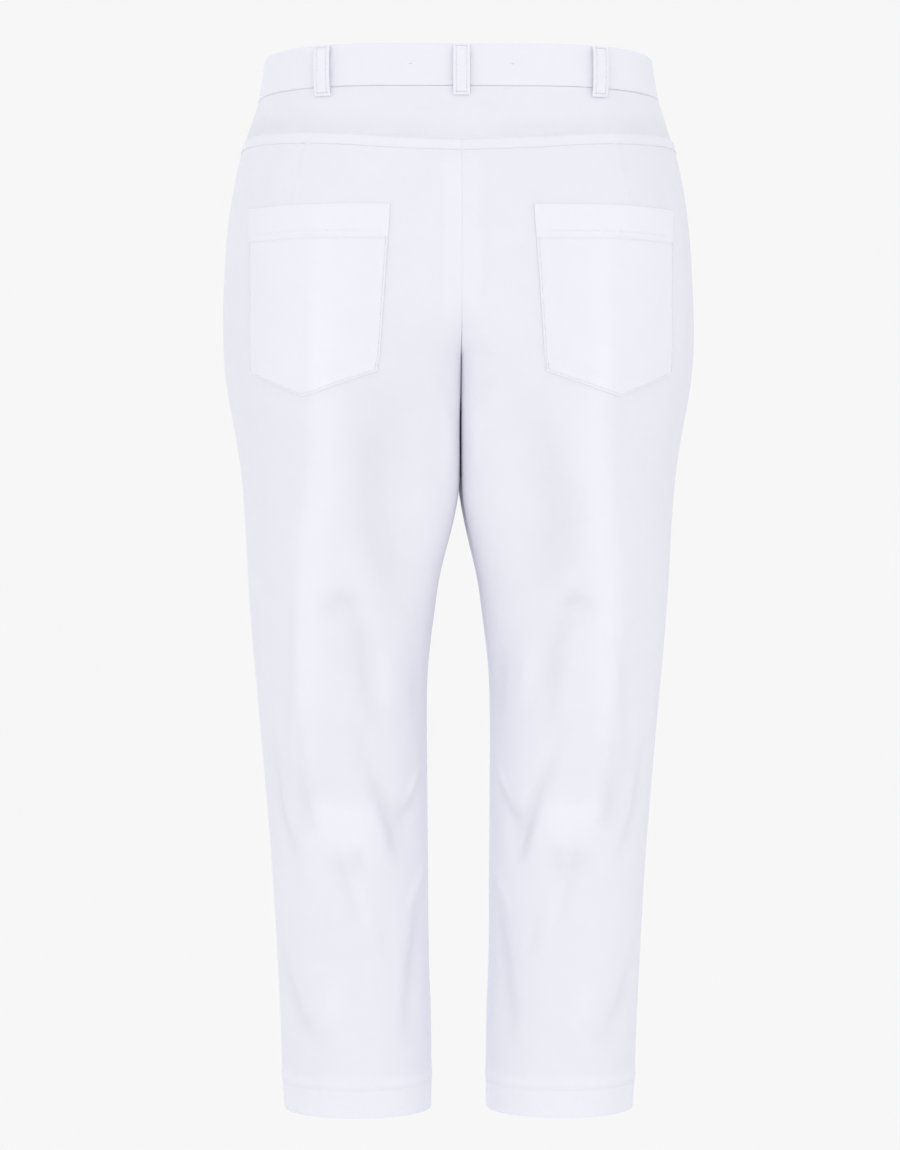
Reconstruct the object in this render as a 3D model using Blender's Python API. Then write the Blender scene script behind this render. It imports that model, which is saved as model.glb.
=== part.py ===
"""White capri trousers, filled out as they are when worn, with no wearer inside.

Built the way they are cut and sewn: two fronts, two backs, a one-piece back yoke, a waistband that overlaps
at the front, five belt loops, two patch pockets, turned-up leg hems, and a zip and a button at centre front.

Sizes are in millimetres and become metres as each mesh is made. +Z is up, the front faces -Y, and +X is the
wearer's left. The origin is in the middle of the waist opening, halfway up the waistband.

Every piece of cloth takes its points from one outer skin. A row of the skin runs from the outseam round the
front or the back to the inner edge, which is the centre seam above the crotch and the inseam below it. A
place on the skin is named by part (BACK or FRONT), across (0 at the outseam, 1 at the inner edge) and row
(a row number of the tables, with fractions between them).
"""

import bmesh
import bpy
import numpy as np
from mathutils import Vector

MM = 0.001

# Cloth
CLOTH = 1.5  # wall of the fronts, backs and yoke
BAND_CLOTH = 2.4  # the waistband, which is folded double and stiffened
BAND_PROUD = 0.6  # how far the waistband stands out from the skin
BAND_HEIGHT = 34
POCKET_CLOTH = 1.3
HEM_CLOTH = 1.2
LOOP_CLOTH = 1.5
SEAM_GAP = 0.3  # between pieces that meet at a seam or lie on each other
LAY_GAP = 0.6  # under a piece that lies on a faceted panel

# Belt loops
LOOP_WIDTH = 13
LOOP_STANDOFF = 5.0  # extra room behind the middle of a loop, where a belt goes
LOOP_TOP_ROW = 0.02  # just under the band's top edge
LOOP_BELOW_SEAM = 8
BACK_LOOP_X = 109
FRONT_LOOP_X = 92

# Waistband closure
OVERLAP = 19  # the upper end reaches this far past centre front
UNDERLAP = 22  # and the lower end this far the other way
BAND_STEP = 7  # length over which the lower end drops behind the upper one
BUTTON_RADIUS = 8.5
BUTTON_THICK = 2.6
BUTTON_RIM = 1.1  # width of the raised rim
BUTTON_DISH = 0.7  # depth of the dish inside the rim
BUTTON_HOLE_RADIUS = 0.9
BUTTON_HOLE_SPACING = 3.6
BUTTON_FROM_CENTRE = 8

# Zip
ZIP_WIDTH = 26
ZIP_THICK = 1.2
ZIP_LENGTH = 127
ZIP_TOP = -20
SLIDER_BELOW_TOP = 4
SLIDER_WIDTH = 8
SLIDER_LENGTH = 12
SLIDER_THICK = 2.2

# Patch pockets, on the backs
POCKET_TOP = -112
POCKET_CORNER = -242  # height of the two lower corners
POCKET_TIP = -261.5
POCKET_TIP_SHARE = 0.52  # how far across the tip is, from the centre back side
POCKET_INNER_X_TOP = 56
POCKET_INNER_X_CORNER = 65
POCKET_WIDTH_TOP = 128  # round the hip
POCKET_WIDTH_CORNER = 115

PANEL_COLUMNS = 15  # points across a front or back, outseam to inner edge

CLOTH_COLOUR = (0.90, 0.90, 0.93, 1.0)
BUTTON_COLOUR = (0.88, 0.88, 0.90, 1.0)
METAL_COLOUR = (0.80, 0.80, 0.82, 1.0)


def table(names, *rows):
    """A short table as a dict of its named columns."""
    return {name: np.array(column, float) for name, column in zip(names.split(), zip(*rows))}


# Row numbers: 0 band top, 1 waist seam, 2 yoke seam, 3 high hip, 4 upper seat, 5 full hip, 6 under the seat,
# 7 crotch, 8 upper thigh, 9 mid thigh, 10 low thigh, 11 knee, 12 below the knee, 13 calf, 14 shin,
# 15 hem stitching, 16 hem edge.
WAIST_ROW, YOKE_ROW, CROTCH_ROW, HEM_ROW, LAST_ROW = 1, 2, 7, 15, 16
BACK, FRONT = 1, -1  # also the sign of y on that side

# The outseam: its height, how far out it is and how far back.
OUTSEAM = table(
    "height out back",
    (17, 157.8, 0),
    (-17, 163.6, 0),
    (-50, 175.2, 0),
    (-100, 185.8, 1),
    (-145, 190.3, 2),
    (-195, 192.3, 3),
    (-243, 190.2, 4),
    (-290, 182.0, 4),
    (-345, 175.4, 3),
    (-425, 170.9, 2),
    (-505, 164.0, 2),
    (-590, 156.5, 4),
    (-645, 152.0, 7),
    (-705, 148.4, 9),
    (-765, 145.3, 10),
    (-812, 143.7, 9),
    (-836, 142.2, 8),
)

# The fullest point of each row: its height, distance from the centre plane and depth from the y = 0 plane,
# and how square the row is outside it and inside it (0.55 is an ellipse).
FULLEST = {
    BACK: table(
        "height across depth square_out square_in",
        (18, 62, 104, 0.66, 0.55),
        (-16, 63, 108, 0.66, 0.55),
        (-57.5, 66, 119, 0.65, 0.55),
        (-103, 74, 131, 0.63, 0.52),
        (-147, 80, 138.5, 0.61, 0.55),
        (-194, 84, 140, 0.60, 0.60),
        (-241, 87, 132, 0.60, 0.68),
        (-286, 88, 117, 0.59, 0.74),
        (-341, 89, 104, 0.58, 0.70),
        (-423, 95, 91, 0.57, 0.62),
        (-504, 95, 78, 0.57, 0.58),
        (-590, 91, 66, 0.57, 0.57),
        (-645, 89, 68, 0.57, 0.57),
        (-705, 87, 73, 0.57, 0.57),
        (-765, 84, 75, 0.57, 0.57),
        (-812, 83, 74, 0.57, 0.57),
        (-836, 82.5, 74, 0.57, 0.57),
    ),
    FRONT: table(
        "height across depth square_out square_in",
        (16, 58, 97, 0.62, 0.55),
        (-18, 60, 101, 0.62, 0.55),
        (-51, 62, 105.5, 0.62, 0.55),
        (-101, 66, 110, 0.61, 0.55),
        (-147, 72, 111, 0.60, 0.55),
        (-194, 78, 108, 0.60, 0.55),
        (-242, 84, 102, 0.59, 0.64),
        (-288, 86, 97, 0.58, 0.70),
        (-343, 88, 92, 0.58, 0.68),
        (-424, 95, 85, 0.57, 0.60),
        (-504.5, 95, 78, 0.57, 0.58),
        (-590, 91, 71, 0.57, 0.57),
        (-645, 89, 66, 0.57, 0.57),
        (-705, 87, 60, 0.57, 0.57),
        (-765, 84, 56, 0.57, 0.57),
        (-812, 83, 55, 0.57, 0.57),
        (-836, 82.5, 55, 0.57, 0.57),
    ),
}

# The centre seams from the waist to the crotch point: height, distance back, and how far the cloth turns into
# the seam there (0 runs straight across, 90 dives into the cleft).
RISE = {
    BACK: table(
        "height back turn",
        (18, 104, 0),
        (-16, 108, 0),
        (-60, 119.5, 0),
        (-105, 129.5, 0),
        (-149, 134.5, 4),
        (-190, 130.5, 20),
        (-223, 109, 54),
        (-240, -4, 90),
    ),
    FRONT: table(
        "height back turn",
        (15, -97, 0),
        (-19, -101, 0),
        (-52, -105.5, 0),
        (-102, -109, 0),
        (-148, -108, 5),
        (-193, -97, 22),
        (-226, -68, 55),
        (-240, -4, 90),
    ),
}

# The inseam from the crotch point to the hem: height, distance from the centre plane and distance back.
INSEAM = table(
    "height across back",
    (-240, 0.4, -4),
    (-318, 1.0, -3),
    (-420, 18.6, -1),
    (-504, 26.0, 0),
    (-590, 25.4, 3),
    (-645, 25.0, 6),
    (-705, 24.6, 8),
    (-765, 22.6, 9),
    (-812, 22.2, 8),
    (-836, 22.4, 8),
)

# Where the flat inner side of a leg begins, as a distance back. The legs touch there, or nearly.
CLEFT = {
    BACK: table("row back", (6, 109), (7, 86), (8, 62), (9, 32), (10, 5), (11, 3)),
    FRONT: table("row back", (6, -68), (7, -62), (8, -46), (9, -24), (10, -6), (11, 3)),
}


def spline(values, at, first=0):
    """A smooth curve through one value for each row, the first of them for row number first, read at rows."""
    count = len(values)
    pull = np.zeros((count, count))
    push = np.zeros(count)
    pull[0, 0] = pull[-1, -1] = 1
    for k in range(1, count - 1):
        pull[k, k - 1 : k + 2] = 1, 4, 1
        push[k] = 6 * (values[k - 1] - 2 * values[k] + values[k + 1])
    bend = np.linalg.solve(pull, push)
    at = np.clip(np.asarray(at, float) - first, 0, count - 1)
    low = np.minimum(at.astype(int), count - 2)
    up = at - low
    down = 1 - up
    return (
        down * values[low]
        + up * values[low + 1]
        + ((down**3 - down) * bend[low] + (up**3 - up) * bend[low + 1]) / 6
    )


def steady(values, at, first=0):
    """As spline, but it never swings past the values on either side."""
    step = np.diff(values)
    slope = np.zeros(len(values))
    same_way = step[:-1] * step[1:] > 0
    slope[1:-1][same_way] = 2 / (1 / step[:-1][same_way] + 1 / step[1:][same_way])
    slope[0], slope[-1] = step[0], step[-1]
    at = np.clip(np.asarray(at, float) - first, 0, len(values) - 1)
    low = np.minimum(at.astype(int), len(values) - 2)
    t = at - low
    return (
        (1 + 2 * t) * (1 - t) ** 2 * values[low]
        + t * (1 - t) ** 2 * slope[low]
        + t * t * (3 - 2 * t) * values[low + 1]
        + t * t * (t - 1) * slope[low + 1]
    )


def bezier(points, count):
    """Points along a cubic Bezier, its first point left out."""
    t = np.linspace(0, 1, count + 1)[1:, None]
    a, b, c, d = (np.array(p, float) for p in points)
    return (1 - t) ** 3 * a + 3 * t * (1 - t) ** 2 * b + 3 * t * t * (1 - t) * c + t**3 * d


def inner_edge(part, row):
    """The inner end of a row: distance from the centre plane, distance back, height and turn."""
    if row < CROTCH_ROW:
        rise = RISE[part]
        return SEAM_GAP / 2, steady(rise["back"], row), steady(rise["height"], row), steady(rise["turn"], row)
    return (
        steady(INSEAM["across"], row, CROTCH_ROW),
        spline(INSEAM["back"], row, CROTCH_ROW),
        spline(INSEAM["height"], row, CROTCH_ROW),
        90.0,
    )


def skin_row(part, row, count):
    """Evenly spaced points along one row, from the outseam to the inner edge, for the side where x > 0."""
    full = FULLEST[part]
    out, side_y, side_z = (spline(OUTSEAM[name], row) for name in ("out", "back", "height"))
    mid_x, mid_z = spline(full["across"], row), spline(full["height"], row)
    mid_y = part * spline(full["depth"], row)
    square_out, square_in = spline(full["square_out"], row), spline(full["square_in"], row)
    in_x, in_y, in_z, turn = inner_edge(part, row)
    cleft = CLEFT[part]
    wall_y = steady(cleft["back"], row, cleft["row"][0])
    if row < cleft["row"][0] or row > cleft["row"][-1]:
        wall_y = in_y

    arc = 48
    outer = bezier(
        (
            (out, side_y),
            (out, side_y + square_out * (mid_y - side_y)),
            (mid_x + square_out * (out - mid_x), mid_y),
            (mid_x, mid_y),
        ),
        arc,
    )
    # The inner quarter heads for the corner where the straight lines off its two ends would meet.
    slope = np.tan(np.radians(min(turn, 89.9)))
    room = mid_x - in_x
    corner_x = min(abs(mid_y - wall_y) / max(slope, 1e-6), room / 2)
    corner_y = wall_y + part * corner_x * slope
    inner = bezier(
        (
            (mid_x, mid_y),
            (mid_x - square_in * (room - corner_x), mid_y),
            (in_x + square_in * corner_x, wall_y + square_in * (corner_y - wall_y)),
            (in_x, wall_y),
        ),
        arc,
    )
    wall = bezier(((in_x, wall_y), (in_x, wall_y), (in_x, in_y), (in_x, in_y)), arc)
    line = np.vstack([[(out, side_y)], outer, inner, wall])
    along = np.concatenate([[0], np.cumsum(np.linalg.norm(np.diff(line, axis=0), axis=1))])
    to_mid = along[arc]
    at = np.linspace(0, along[-1], count)
    near_side = np.clip(at / to_mid, 0, 1)
    past_mid = np.clip((at - to_mid) / (along[-1] - to_mid), 0, 1)
    height = side_z + (mid_z - side_z) * near_side**2 + (in_z - mid_z) * past_mid
    return np.column_stack([np.interp(at, along, line[:, 0]), np.interp(at, along, line[:, 1]), height])


# The skin, read off finely once. A place is then found between its neighbours.
PER_ROW = 32
COLUMNS = 257
SKIN = {
    part: np.array([skin_row(part, k / PER_ROW, COLUMNS) for k in range(LAST_ROW * PER_ROW + 1)])
    for part in (BACK, FRONT)
}


def skin(part, across, row):
    """Points of the skin where x > 0, at arrays of places."""
    net = SKIN[part]
    a = np.clip(np.asarray(across, float), 0, 1) * (COLUMNS - 1)
    r = np.clip(np.asarray(row, float), 0, LAST_ROW) * PER_ROW
    i, j = np.minimum(r.astype(int), len(net) - 2), np.minimum(a.astype(int), COLUMNS - 2)
    r, a = (r - i)[..., None], (a - j)[..., None]
    near = (1 - a) * net[i, j] + a * net[i, j + 1]
    far = (1 - a) * net[i + 1, j] + a * net[i + 1, j + 1]
    return (1 - r) * near + r * far


def skin_normal(part, across, row):
    """Unit normals of the skin where x > 0, pointing out of the garment."""
    da, dr = 1.0 / COLUMNS, 1.0 / PER_ROW
    across = np.clip(np.asarray(across, float), da, 1 - da)
    row = np.clip(np.asarray(row, float), dr, LAST_ROW - dr)
    over = skin(part, across + da, row) - skin(part, across - da, row)
    down = skin(part, across, row + dr) - skin(part, across, row - dr)
    n = np.cross(down, over) * part
    return n / np.linalg.norm(n, axis=-1, keepdims=True)


def place(part, side, across, row, lift=0.0):
    """Points lifted off the skin by lift, and normals, on the side (+1 or -1) of the centre plane."""
    across, row = np.broadcast_arrays(np.asarray(across, float), np.asarray(row, float))
    normals = skin_normal(part, across, row)
    points = skin(part, across, row) + normals * np.asarray(lift, float)[..., None]
    mirror = np.array([side, 1, 1])
    return points * mirror, normals * mirror


def girth(part, row):
    """The length of one row from the outseam to its inner edge."""
    line = skin(part, np.linspace(0, 1, COLUMNS), np.full(COLUMNS, float(row)))
    return np.linalg.norm(np.diff(line, axis=0), axis=1).sum()


def row_at_height(part, across, height):
    """The row number at a height, by halving, for each place across."""
    across, height = np.broadcast_arrays(np.asarray(across, float), np.asarray(height, float))
    low, high = np.zeros(across.shape), np.full(across.shape, float(LAST_ROW))
    for _ in range(30):
        middle = (low + high) / 2
        above = skin(part, across, middle)[..., 2] > height
        low, high = np.where(above, middle, low), np.where(above, high, middle)
    return (low + high) / 2


def across_at_x(part, x, row):
    """Where a row is this far from the centre plane."""
    a = np.linspace(0, 1, COLUMNS)
    return float(np.interp(-x, -skin(part, a, np.full(COLUMNS, float(row)))[:, 0], a))


def trimmed(first, last, count, length):
    """Evenly spaced places between two seams length millimetres apart, half a seam gap in from each."""
    inset = SEAM_GAP / 2 / length * (last - first)
    return np.linspace(first + inset, last - inset, count)


def material(name, colour, roughness, metallic=0.0):
    made = bpy.data.materials.new(name)
    made.use_nodes = True
    shader = made.node_tree.nodes["Principled BSDF"]
    shader.inputs["Base Color"].default_value = colour
    shader.inputs["Roughness"].default_value = roughness
    shader.inputs["Metallic"].default_value = metallic
    return made


def add_object(name, bm, finish, smooth_angle=60):
    bmesh.ops.recalc_face_normals(bm, faces=bm.faces)
    mesh = bpy.data.meshes.new(name)
    bm.to_mesh(mesh)
    bm.free()
    mesh.shade_smooth()
    mesh.set_sharp_from_angle(angle=np.radians(smooth_angle))
    mesh.materials.append(finish)
    made = bpy.data.objects.new(name, mesh)
    bpy.context.scene.collection.objects.link(made)
    return made


def wall(name, points, normals, thick, finish, closed=False):
    """A wall of cloth. points[row][column] are on its outer face, and it is thick millimetres deep. A closed
    wall joins its last column to its first."""
    bm = bmesh.new()
    inward = bm.verts.layers.float_vector.new("inward")
    rows, columns = points.shape[:2]
    grid = []
    for i in range(rows):
        line = []
        for j in range(columns):
            vertex = bm.verts.new(points[i, j] * MM)
            vertex[inward] = normals[i, j] * -thick * MM
            line.append(vertex)
        grid.append(line)
    for i in range(rows - 1):
        for j in range(columns if closed else columns - 1):
            k = (j + 1) % columns
            bm.faces.new((grid[i][j], grid[i][k], grid[i + 1][k], grid[i + 1][j]))
    made = bmesh.ops.extrude_face_region(bm, geom=bm.faces[:])
    for vertex in made["geom"]:
        if isinstance(vertex, bmesh.types.BMVert):
            vertex.co += vertex[inward]
    bm.verts.layers.float_vector.remove(inward)
    return add_object(name, bm, finish)


def seam_normal(side, across, rows):
    """Where a front and a back meet, the normal halfway between theirs, so both walls end on one plane."""
    both = sum(place(part, side, across, rows)[1] for part in (FRONT, BACK))
    return both / np.linalg.norm(both, axis=-1, keepdims=True)


def ring(side_places, lift=0.0):
    """Joins the points and normals of several stretches of skin, lifted off it, column after column."""
    found = [place(part, side, across, row, lift) for part, side, across, row in side_places]
    return np.concatenate([f[0] for f in found], axis=1), np.concatenate([f[1] for f in found], axis=1)


def panel_rows(top):
    """The rows of points of a front or back, from its top seam to the hem, closest round the crotch."""
    flat, bent, straight = 3, 6, 12
    rows_apart = 50  # millimetres between the rows of the tables next to the seams at the top
    rows = np.concatenate(
        [
            np.arange(top, flat),
            np.arange(flat, bent, 0.5),
            bent + np.arange(3) / 3,
            np.arange(CROTCH_ROW, straight, 0.5),
            np.arange(straight, LAST_ROW + 1),
        ]
    )
    rows[0] += SEAM_GAP / 2 / rows_apart
    return rows


def leg_panels(cloth):
    """The fronts and backs, from the waist or yoke seam to the hem."""
    for part, word, top in ((BACK, "back", YOKE_ROW), (FRONT, "front", WAIST_ROW)):
        rows = panel_rows(top)
        for side, hand in ((1, "left"), (-1, "right")):
            across = np.array([trimmed(0, 1, PANEL_COLUMNS, girth(part, r)) for r in rows])
            points, normals = place(part, side, across, rows[:, None])
            normals[:, 0] = seam_normal(side, 0, rows)
            below = rows >= CROTCH_ROW
            normals[below, -1] = seam_normal(side, 1, rows[below])
            wall(f"{word}_{hand}", points, normals, CLOTH, cloth)


def yoke(cloth):
    """One piece across the back, from outseam to outseam, with its lower edge dipping to centre back."""
    rows = trimmed(WAIST_ROW, YOKE_ROW, 4, 40)[:, None]
    half = trimmed(0, 1, PANEL_COLUMNS, girth(BACK, WAIST_ROW))[:-1]
    points, normals = ring([(BACK, -1, half, rows), (BACK, 1, np.ones(1), rows), (BACK, 1, half[::-1], rows)])
    centre = len(half)
    points[:, centre, 0] = 0
    normals[:, centre, 0] = 0
    wall("back_yoke", points, normals, CLOTH, cloth)


def waistband(cloth):
    """A band all round. Its upper end passes centre front, and its lower end drops behind the upper one."""
    rows = np.array([0, 0.5, 1 - SEAM_GAP / 2 / BAND_HEIGHT])[:, None]
    front = girth(FRONT, 0.5)
    over_end = 1 - OVERLAP / front
    step_end = over_end - SEAM_GAP / front
    step_start = step_end - BAND_STEP / front
    under_end = 1 - UNDERLAP / front
    drop = BAND_CLOTH + SEAM_GAP
    half = np.linspace(0, 1, PANEL_COLUMNS)
    stretches = [
        (FRONT, 1, np.linspace(over_end, 1, 3)[:-1], BAND_PROUD),
        (FRONT, -1, half[:0:-1], BAND_PROUD),
        (BACK, -1, half[:-1], BAND_PROUD),
        (BACK, 1, half[::-1], BAND_PROUD),
        (FRONT, 1, np.linspace(0, step_start, PANEL_COLUMNS - 1)[1:], BAND_PROUD),
        (FRONT, 1, np.linspace(step_end, 1, 4)[:-1], BAND_PROUD - drop),
        (FRONT, -1, np.linspace(1, under_end, 4), BAND_PROUD - drop),
    ]
    found = [place(part, side, across, rows, lift) for part, side, across, lift in stretches]
    points = np.concatenate([f[0] for f in found], axis=1)
    normals = np.concatenate([f[1] for f in found], axis=1)
    wall("waistband", points, normals, BAND_CLOTH, cloth)


def hems(cloth):
    """The turned-up cloth inside each leg's lower edge, on the same columns as the fronts and backs."""
    rows = np.array([HEM_ROW, LAST_ROW])[:, None]
    around = np.linspace(0, 1, PANEL_COLUMNS)
    for side, hand in ((1, "left"), (-1, "right")):
        points, normals = ring(
            [(BACK, side, around[:-1], rows), (FRONT, side, around[:0:-1], rows)], -CLOTH - SEAM_GAP
        )
        wall(f"hem_{hand}", points, normals, HEM_CLOTH, cloth, closed=True)


def pockets(cloth):
    """Five-sided patches on the backs, taken from the backs' own points and moved out."""
    columns, rows = 13, 11
    share = np.linspace(0, 1, columns)
    tip = POCKET_TIP_SHARE
    share = np.sort(np.append(share[np.abs(share - tip) > 0.045], tip))
    to_tip = np.where(share < tip, share / tip, (1 - share) / (1 - tip))
    bottom = POCKET_CORNER + (POCKET_TIP - POCKET_CORNER) * to_tip
    heights = POCKET_TOP + (bottom - POCKET_TOP) * np.linspace(0, 1, rows)[:, None]
    down = (POCKET_TOP - heights) / (POCKET_TOP - POCKET_CORNER)
    inner_x = POCKET_INNER_X_TOP + (POCKET_INNER_X_CORNER - POCKET_INNER_X_TOP) * down
    width = POCKET_WIDTH_TOP + (POCKET_WIDTH_CORNER - POCKET_WIDTH_TOP) * down
    across, row = np.zeros(heights.shape), np.zeros(heights.shape)
    fine = np.linspace(1, 0, 400)
    for i in range(rows):
        for j in range(len(share)):
            level = row_at_height(BACK, fine, heights[i, j])
            line = skin(BACK, fine, level)
            along = np.concatenate([[0], np.cumsum(np.linalg.norm(np.diff(line, axis=0), axis=1))])
            start = np.interp(inner_x[i, j], line[:, 0], along)
            at = start + width[i, j] * share[j]
            across[i, j] = np.interp(at, along, fine)
            row[i, j] = np.interp(at, along, level)
    for side, hand in ((1, "left"), (-1, "right")):
        points, normals = place(BACK, side, across, row, LAY_GAP + POCKET_CLOTH)
        wall(f"pocket_{hand}", points, normals, POCKET_CLOTH, cloth)


def belt_loops(cloth):
    """Strips that stand off the band, caught at its top edge and just below the waist seam."""
    # Share of the way down the strip, and how much of the standoff it has there.
    shape = table("down standoff", (0, 0), (0.08, 0.7), (0.2, 1), (0.8, 1), (0.92, 0.7), (1, 0))
    loops = (
        ("belt_loop_back_centre", BACK, 1, 0),
        ("belt_loop_back_left", BACK, 1, BACK_LOOP_X),
        ("belt_loop_back_right", BACK, -1, BACK_LOOP_X),
        ("belt_loop_front_left", FRONT, 1, FRONT_LOOP_X),
        ("belt_loop_front_right", FRONT, -1, FRONT_LOOP_X),
    )
    for name, part, side, x in loops:
        middle = across_at_x(part, x, 0.5) if x else 1
        half = LOOP_WIDTH / 2 / girth(part, 0.5)
        top = skin(part, middle, LOOP_TOP_ROW)[2]
        bottom = skin(part, middle, WAIST_ROW)[2] - LOOP_BELOW_SEAM
        heights = top + (bottom - top) * shape["down"]
        rows = row_at_height(part, middle, heights)[:, None]
        on_band = np.clip((WAIST_ROW - rows) * 20, 0, 1) * BAND_PROUD
        lift = on_band + LAY_GAP + LOOP_CLOTH + LOOP_STANDOFF * shape["standoff"][:, None]
        if x:
            across = np.linspace(middle - half, middle + half, 3)
            points, normals = place(part, side, across, rows, np.broadcast_to(lift, (len(rows), 3)))
        else:
            left, away = place(part, 1, np.array([1 - half, 1]), rows, np.broadcast_to(lift, (len(rows), 2)))
            flip = np.array([-1, 1, 1])
            left[:, 1, 0] = away[:, 1, 0] = 0
            points = np.concatenate([left, left[:, :1] * flip], axis=1)
            normals = np.concatenate([away, away[:, :1] * flip], axis=1)
        wall(name, points, normals, LOOP_CLOTH, cloth)


def zip_and_slider(tape, metal):
    """A closed zip behind the centre front seam, with its slider at the top."""
    first, last = row_at_height(FRONT, 1, np.array([ZIP_TOP, ZIP_TOP - ZIP_LENGTH]))
    between = [row for row in panel_rows(WAIST_ROW) if first < row < last]
    rows = np.array([first, *between, last])[:, None]
    half = ZIP_WIDTH / 2 / girth(FRONT, 2)
    under = -(CLOTH + LAY_GAP)
    across = np.array([1 - half, 1 - half / 2])
    side, away = place(FRONT, 1, across, rows, under)
    centre, straight = place(FRONT, 1, np.array([1.0]), rows, under)
    centre[..., 0] = straight[..., 0] = 0
    flip = np.array([-1, 1, 1])
    points = np.concatenate([side, centre, side[:, ::-1] * flip], axis=1)
    normals = np.concatenate([away, straight, away[:, ::-1] * flip], axis=1)
    wall("zip_tape", points, normals, ZIP_THICK, tape)

    behind = under - ZIP_THICK - SEAM_GAP
    top = ZIP_TOP - SLIDER_BELOW_TOP
    slide_rows = row_at_height(FRONT, 1, np.array([top, top - SLIDER_LENGTH]))[:, None]
    spot, facing = place(FRONT, 1, np.array([1.0]), slide_rows, behind)
    half_slider = SLIDER_WIDTH / 2
    spot = np.concatenate([spot, spot], axis=1)
    facing = np.concatenate([facing, facing], axis=1)
    spot[..., 0] = (-half_slider, half_slider)
    facing[..., 0] = 0
    slider = wall("zip_slider", spot, facing, SLIDER_THICK, metal)
    bevel = slider.modifiers.new("edges", "BEVEL")
    bevel.width = 0.6 * MM
    bevel.segments = 2


def button(finish):
    """A four-hole dished button on the waistband's upper end, turned on its own axis."""
    across = np.array([[1 - BUTTON_FROM_CENTRE / girth(FRONT, 0.5)]])
    seat, facing = place(FRONT, 1, across, np.array([[0.5]]), BAND_PROUD + SEAM_GAP)
    # Half section from the axis: back face, rim and dished front face.
    profile = table(
        "radius height",
        (BUTTON_RADIUS - 1.2, 0),
        (BUTTON_RADIUS, 1.0),
        (BUTTON_RADIUS, BUTTON_THICK - 0.4),
        (BUTTON_RADIUS - 0.4, BUTTON_THICK),
        (BUTTON_RADIUS - BUTTON_RIM, BUTTON_THICK),
        (BUTTON_RADIUS - BUTTON_RIM - 0.8, BUTTON_THICK - BUTTON_DISH),
    )
    bm = bmesh.new()
    turns = 32
    loops = []
    for radius, height in zip(profile["radius"], profile["height"]):
        made = bmesh.ops.create_circle(bm, segments=turns, radius=radius * MM)
        for vertex in made["verts"]:
            vertex.co.z = height * MM
        loops.append(made["verts"])
    for low, high in zip(loops, loops[1:]):
        for k in range(turns):
            m = (k + 1) % turns
            bm.faces.new((low[k], low[m], high[m], high[k]))
    bm.faces.new(loops[0][::-1])
    bm.faces.new(loops[-1])
    made = add_object("button", bm, finish, 30)
    drill_holes(made)
    made.location = seat[0, 0] * MM
    made.rotation_mode = "QUATERNION"
    made.rotation_quaternion = Vector(facing[0, 0]).to_track_quat("Z", "Y")


def drill_holes(target):
    """Four thread holes right through."""
    bm = bmesh.new()
    for x in (-1, 1):
        for y in (-1, 1):
            made = bmesh.ops.create_cone(
                bm,
                cap_ends=True,
                segments=12,
                radius1=BUTTON_HOLE_RADIUS * MM,
                radius2=BUTTON_HOLE_RADIUS * MM,
                depth=4 * BUTTON_THICK * MM,
            )
            for vertex in made["verts"]:
                vertex.co.x += x * BUTTON_HOLE_SPACING / 2 * MM
                vertex.co.y += y * BUTTON_HOLE_SPACING / 2 * MM
    mesh = bpy.data.meshes.new("thread_holes")
    bm.to_mesh(mesh)
    bm.free()
    cutter = bpy.data.objects.new("thread_holes", mesh)
    bpy.context.scene.collection.objects.link(cutter)
    cutter.hide_render = True
    cutter.display_type = "WIRE"
    cutter.parent = target
    cut = target.modifiers.new("thread holes", "BOOLEAN")
    cut.operation = "DIFFERENCE"
    cut.object = cutter


def main():
    for old in list(bpy.data.objects):
        bpy.data.objects.remove(old)
    cloth = material("white_cloth", CLOTH_COLOUR, 0.85)
    tape = material("zip_tape", CLOTH_COLOUR, 0.7)
    shell = material("button", BUTTON_COLOUR, 0.35)
    metal = material("zip_metal", METAL_COLOUR, 0.35, 1.0)
    leg_panels(cloth)
    yoke(cloth)
    waistband(cloth)
    hems(cloth)
    pockets(cloth)
    belt_loops(cloth)
    zip_and_slider(tape, metal)
    button(shell)


main()
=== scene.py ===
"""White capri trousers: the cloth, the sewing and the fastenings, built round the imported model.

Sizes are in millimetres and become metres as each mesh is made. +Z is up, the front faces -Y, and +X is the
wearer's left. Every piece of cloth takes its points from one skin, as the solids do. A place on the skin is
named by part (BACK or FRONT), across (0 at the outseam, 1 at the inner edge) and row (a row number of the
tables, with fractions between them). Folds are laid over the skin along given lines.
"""

import functools

import bpy
import numpy as np
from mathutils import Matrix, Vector


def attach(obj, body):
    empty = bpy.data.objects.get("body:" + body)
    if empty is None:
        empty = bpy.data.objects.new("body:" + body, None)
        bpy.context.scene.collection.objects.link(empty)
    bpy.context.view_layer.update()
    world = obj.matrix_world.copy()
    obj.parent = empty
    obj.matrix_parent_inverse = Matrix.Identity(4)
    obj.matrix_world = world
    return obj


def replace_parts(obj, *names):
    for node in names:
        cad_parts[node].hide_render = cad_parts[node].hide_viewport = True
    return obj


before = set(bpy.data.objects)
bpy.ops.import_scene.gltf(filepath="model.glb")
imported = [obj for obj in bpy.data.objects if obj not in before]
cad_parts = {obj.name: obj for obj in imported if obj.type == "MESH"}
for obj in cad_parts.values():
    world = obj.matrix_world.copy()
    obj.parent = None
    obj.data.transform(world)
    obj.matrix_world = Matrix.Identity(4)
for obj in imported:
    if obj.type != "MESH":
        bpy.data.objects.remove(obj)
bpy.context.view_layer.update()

bl_info = {
    "name": "Capri Trousers",
    "version": (1, 0, 0),
    "blender": (4, 5, 0),
    "location": "3D View > Sidebar > Trousers",
    "description": "Builds the cloth, sewing and fastenings of filled-out capri trousers",
    "category": "Add Mesh",
}

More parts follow.
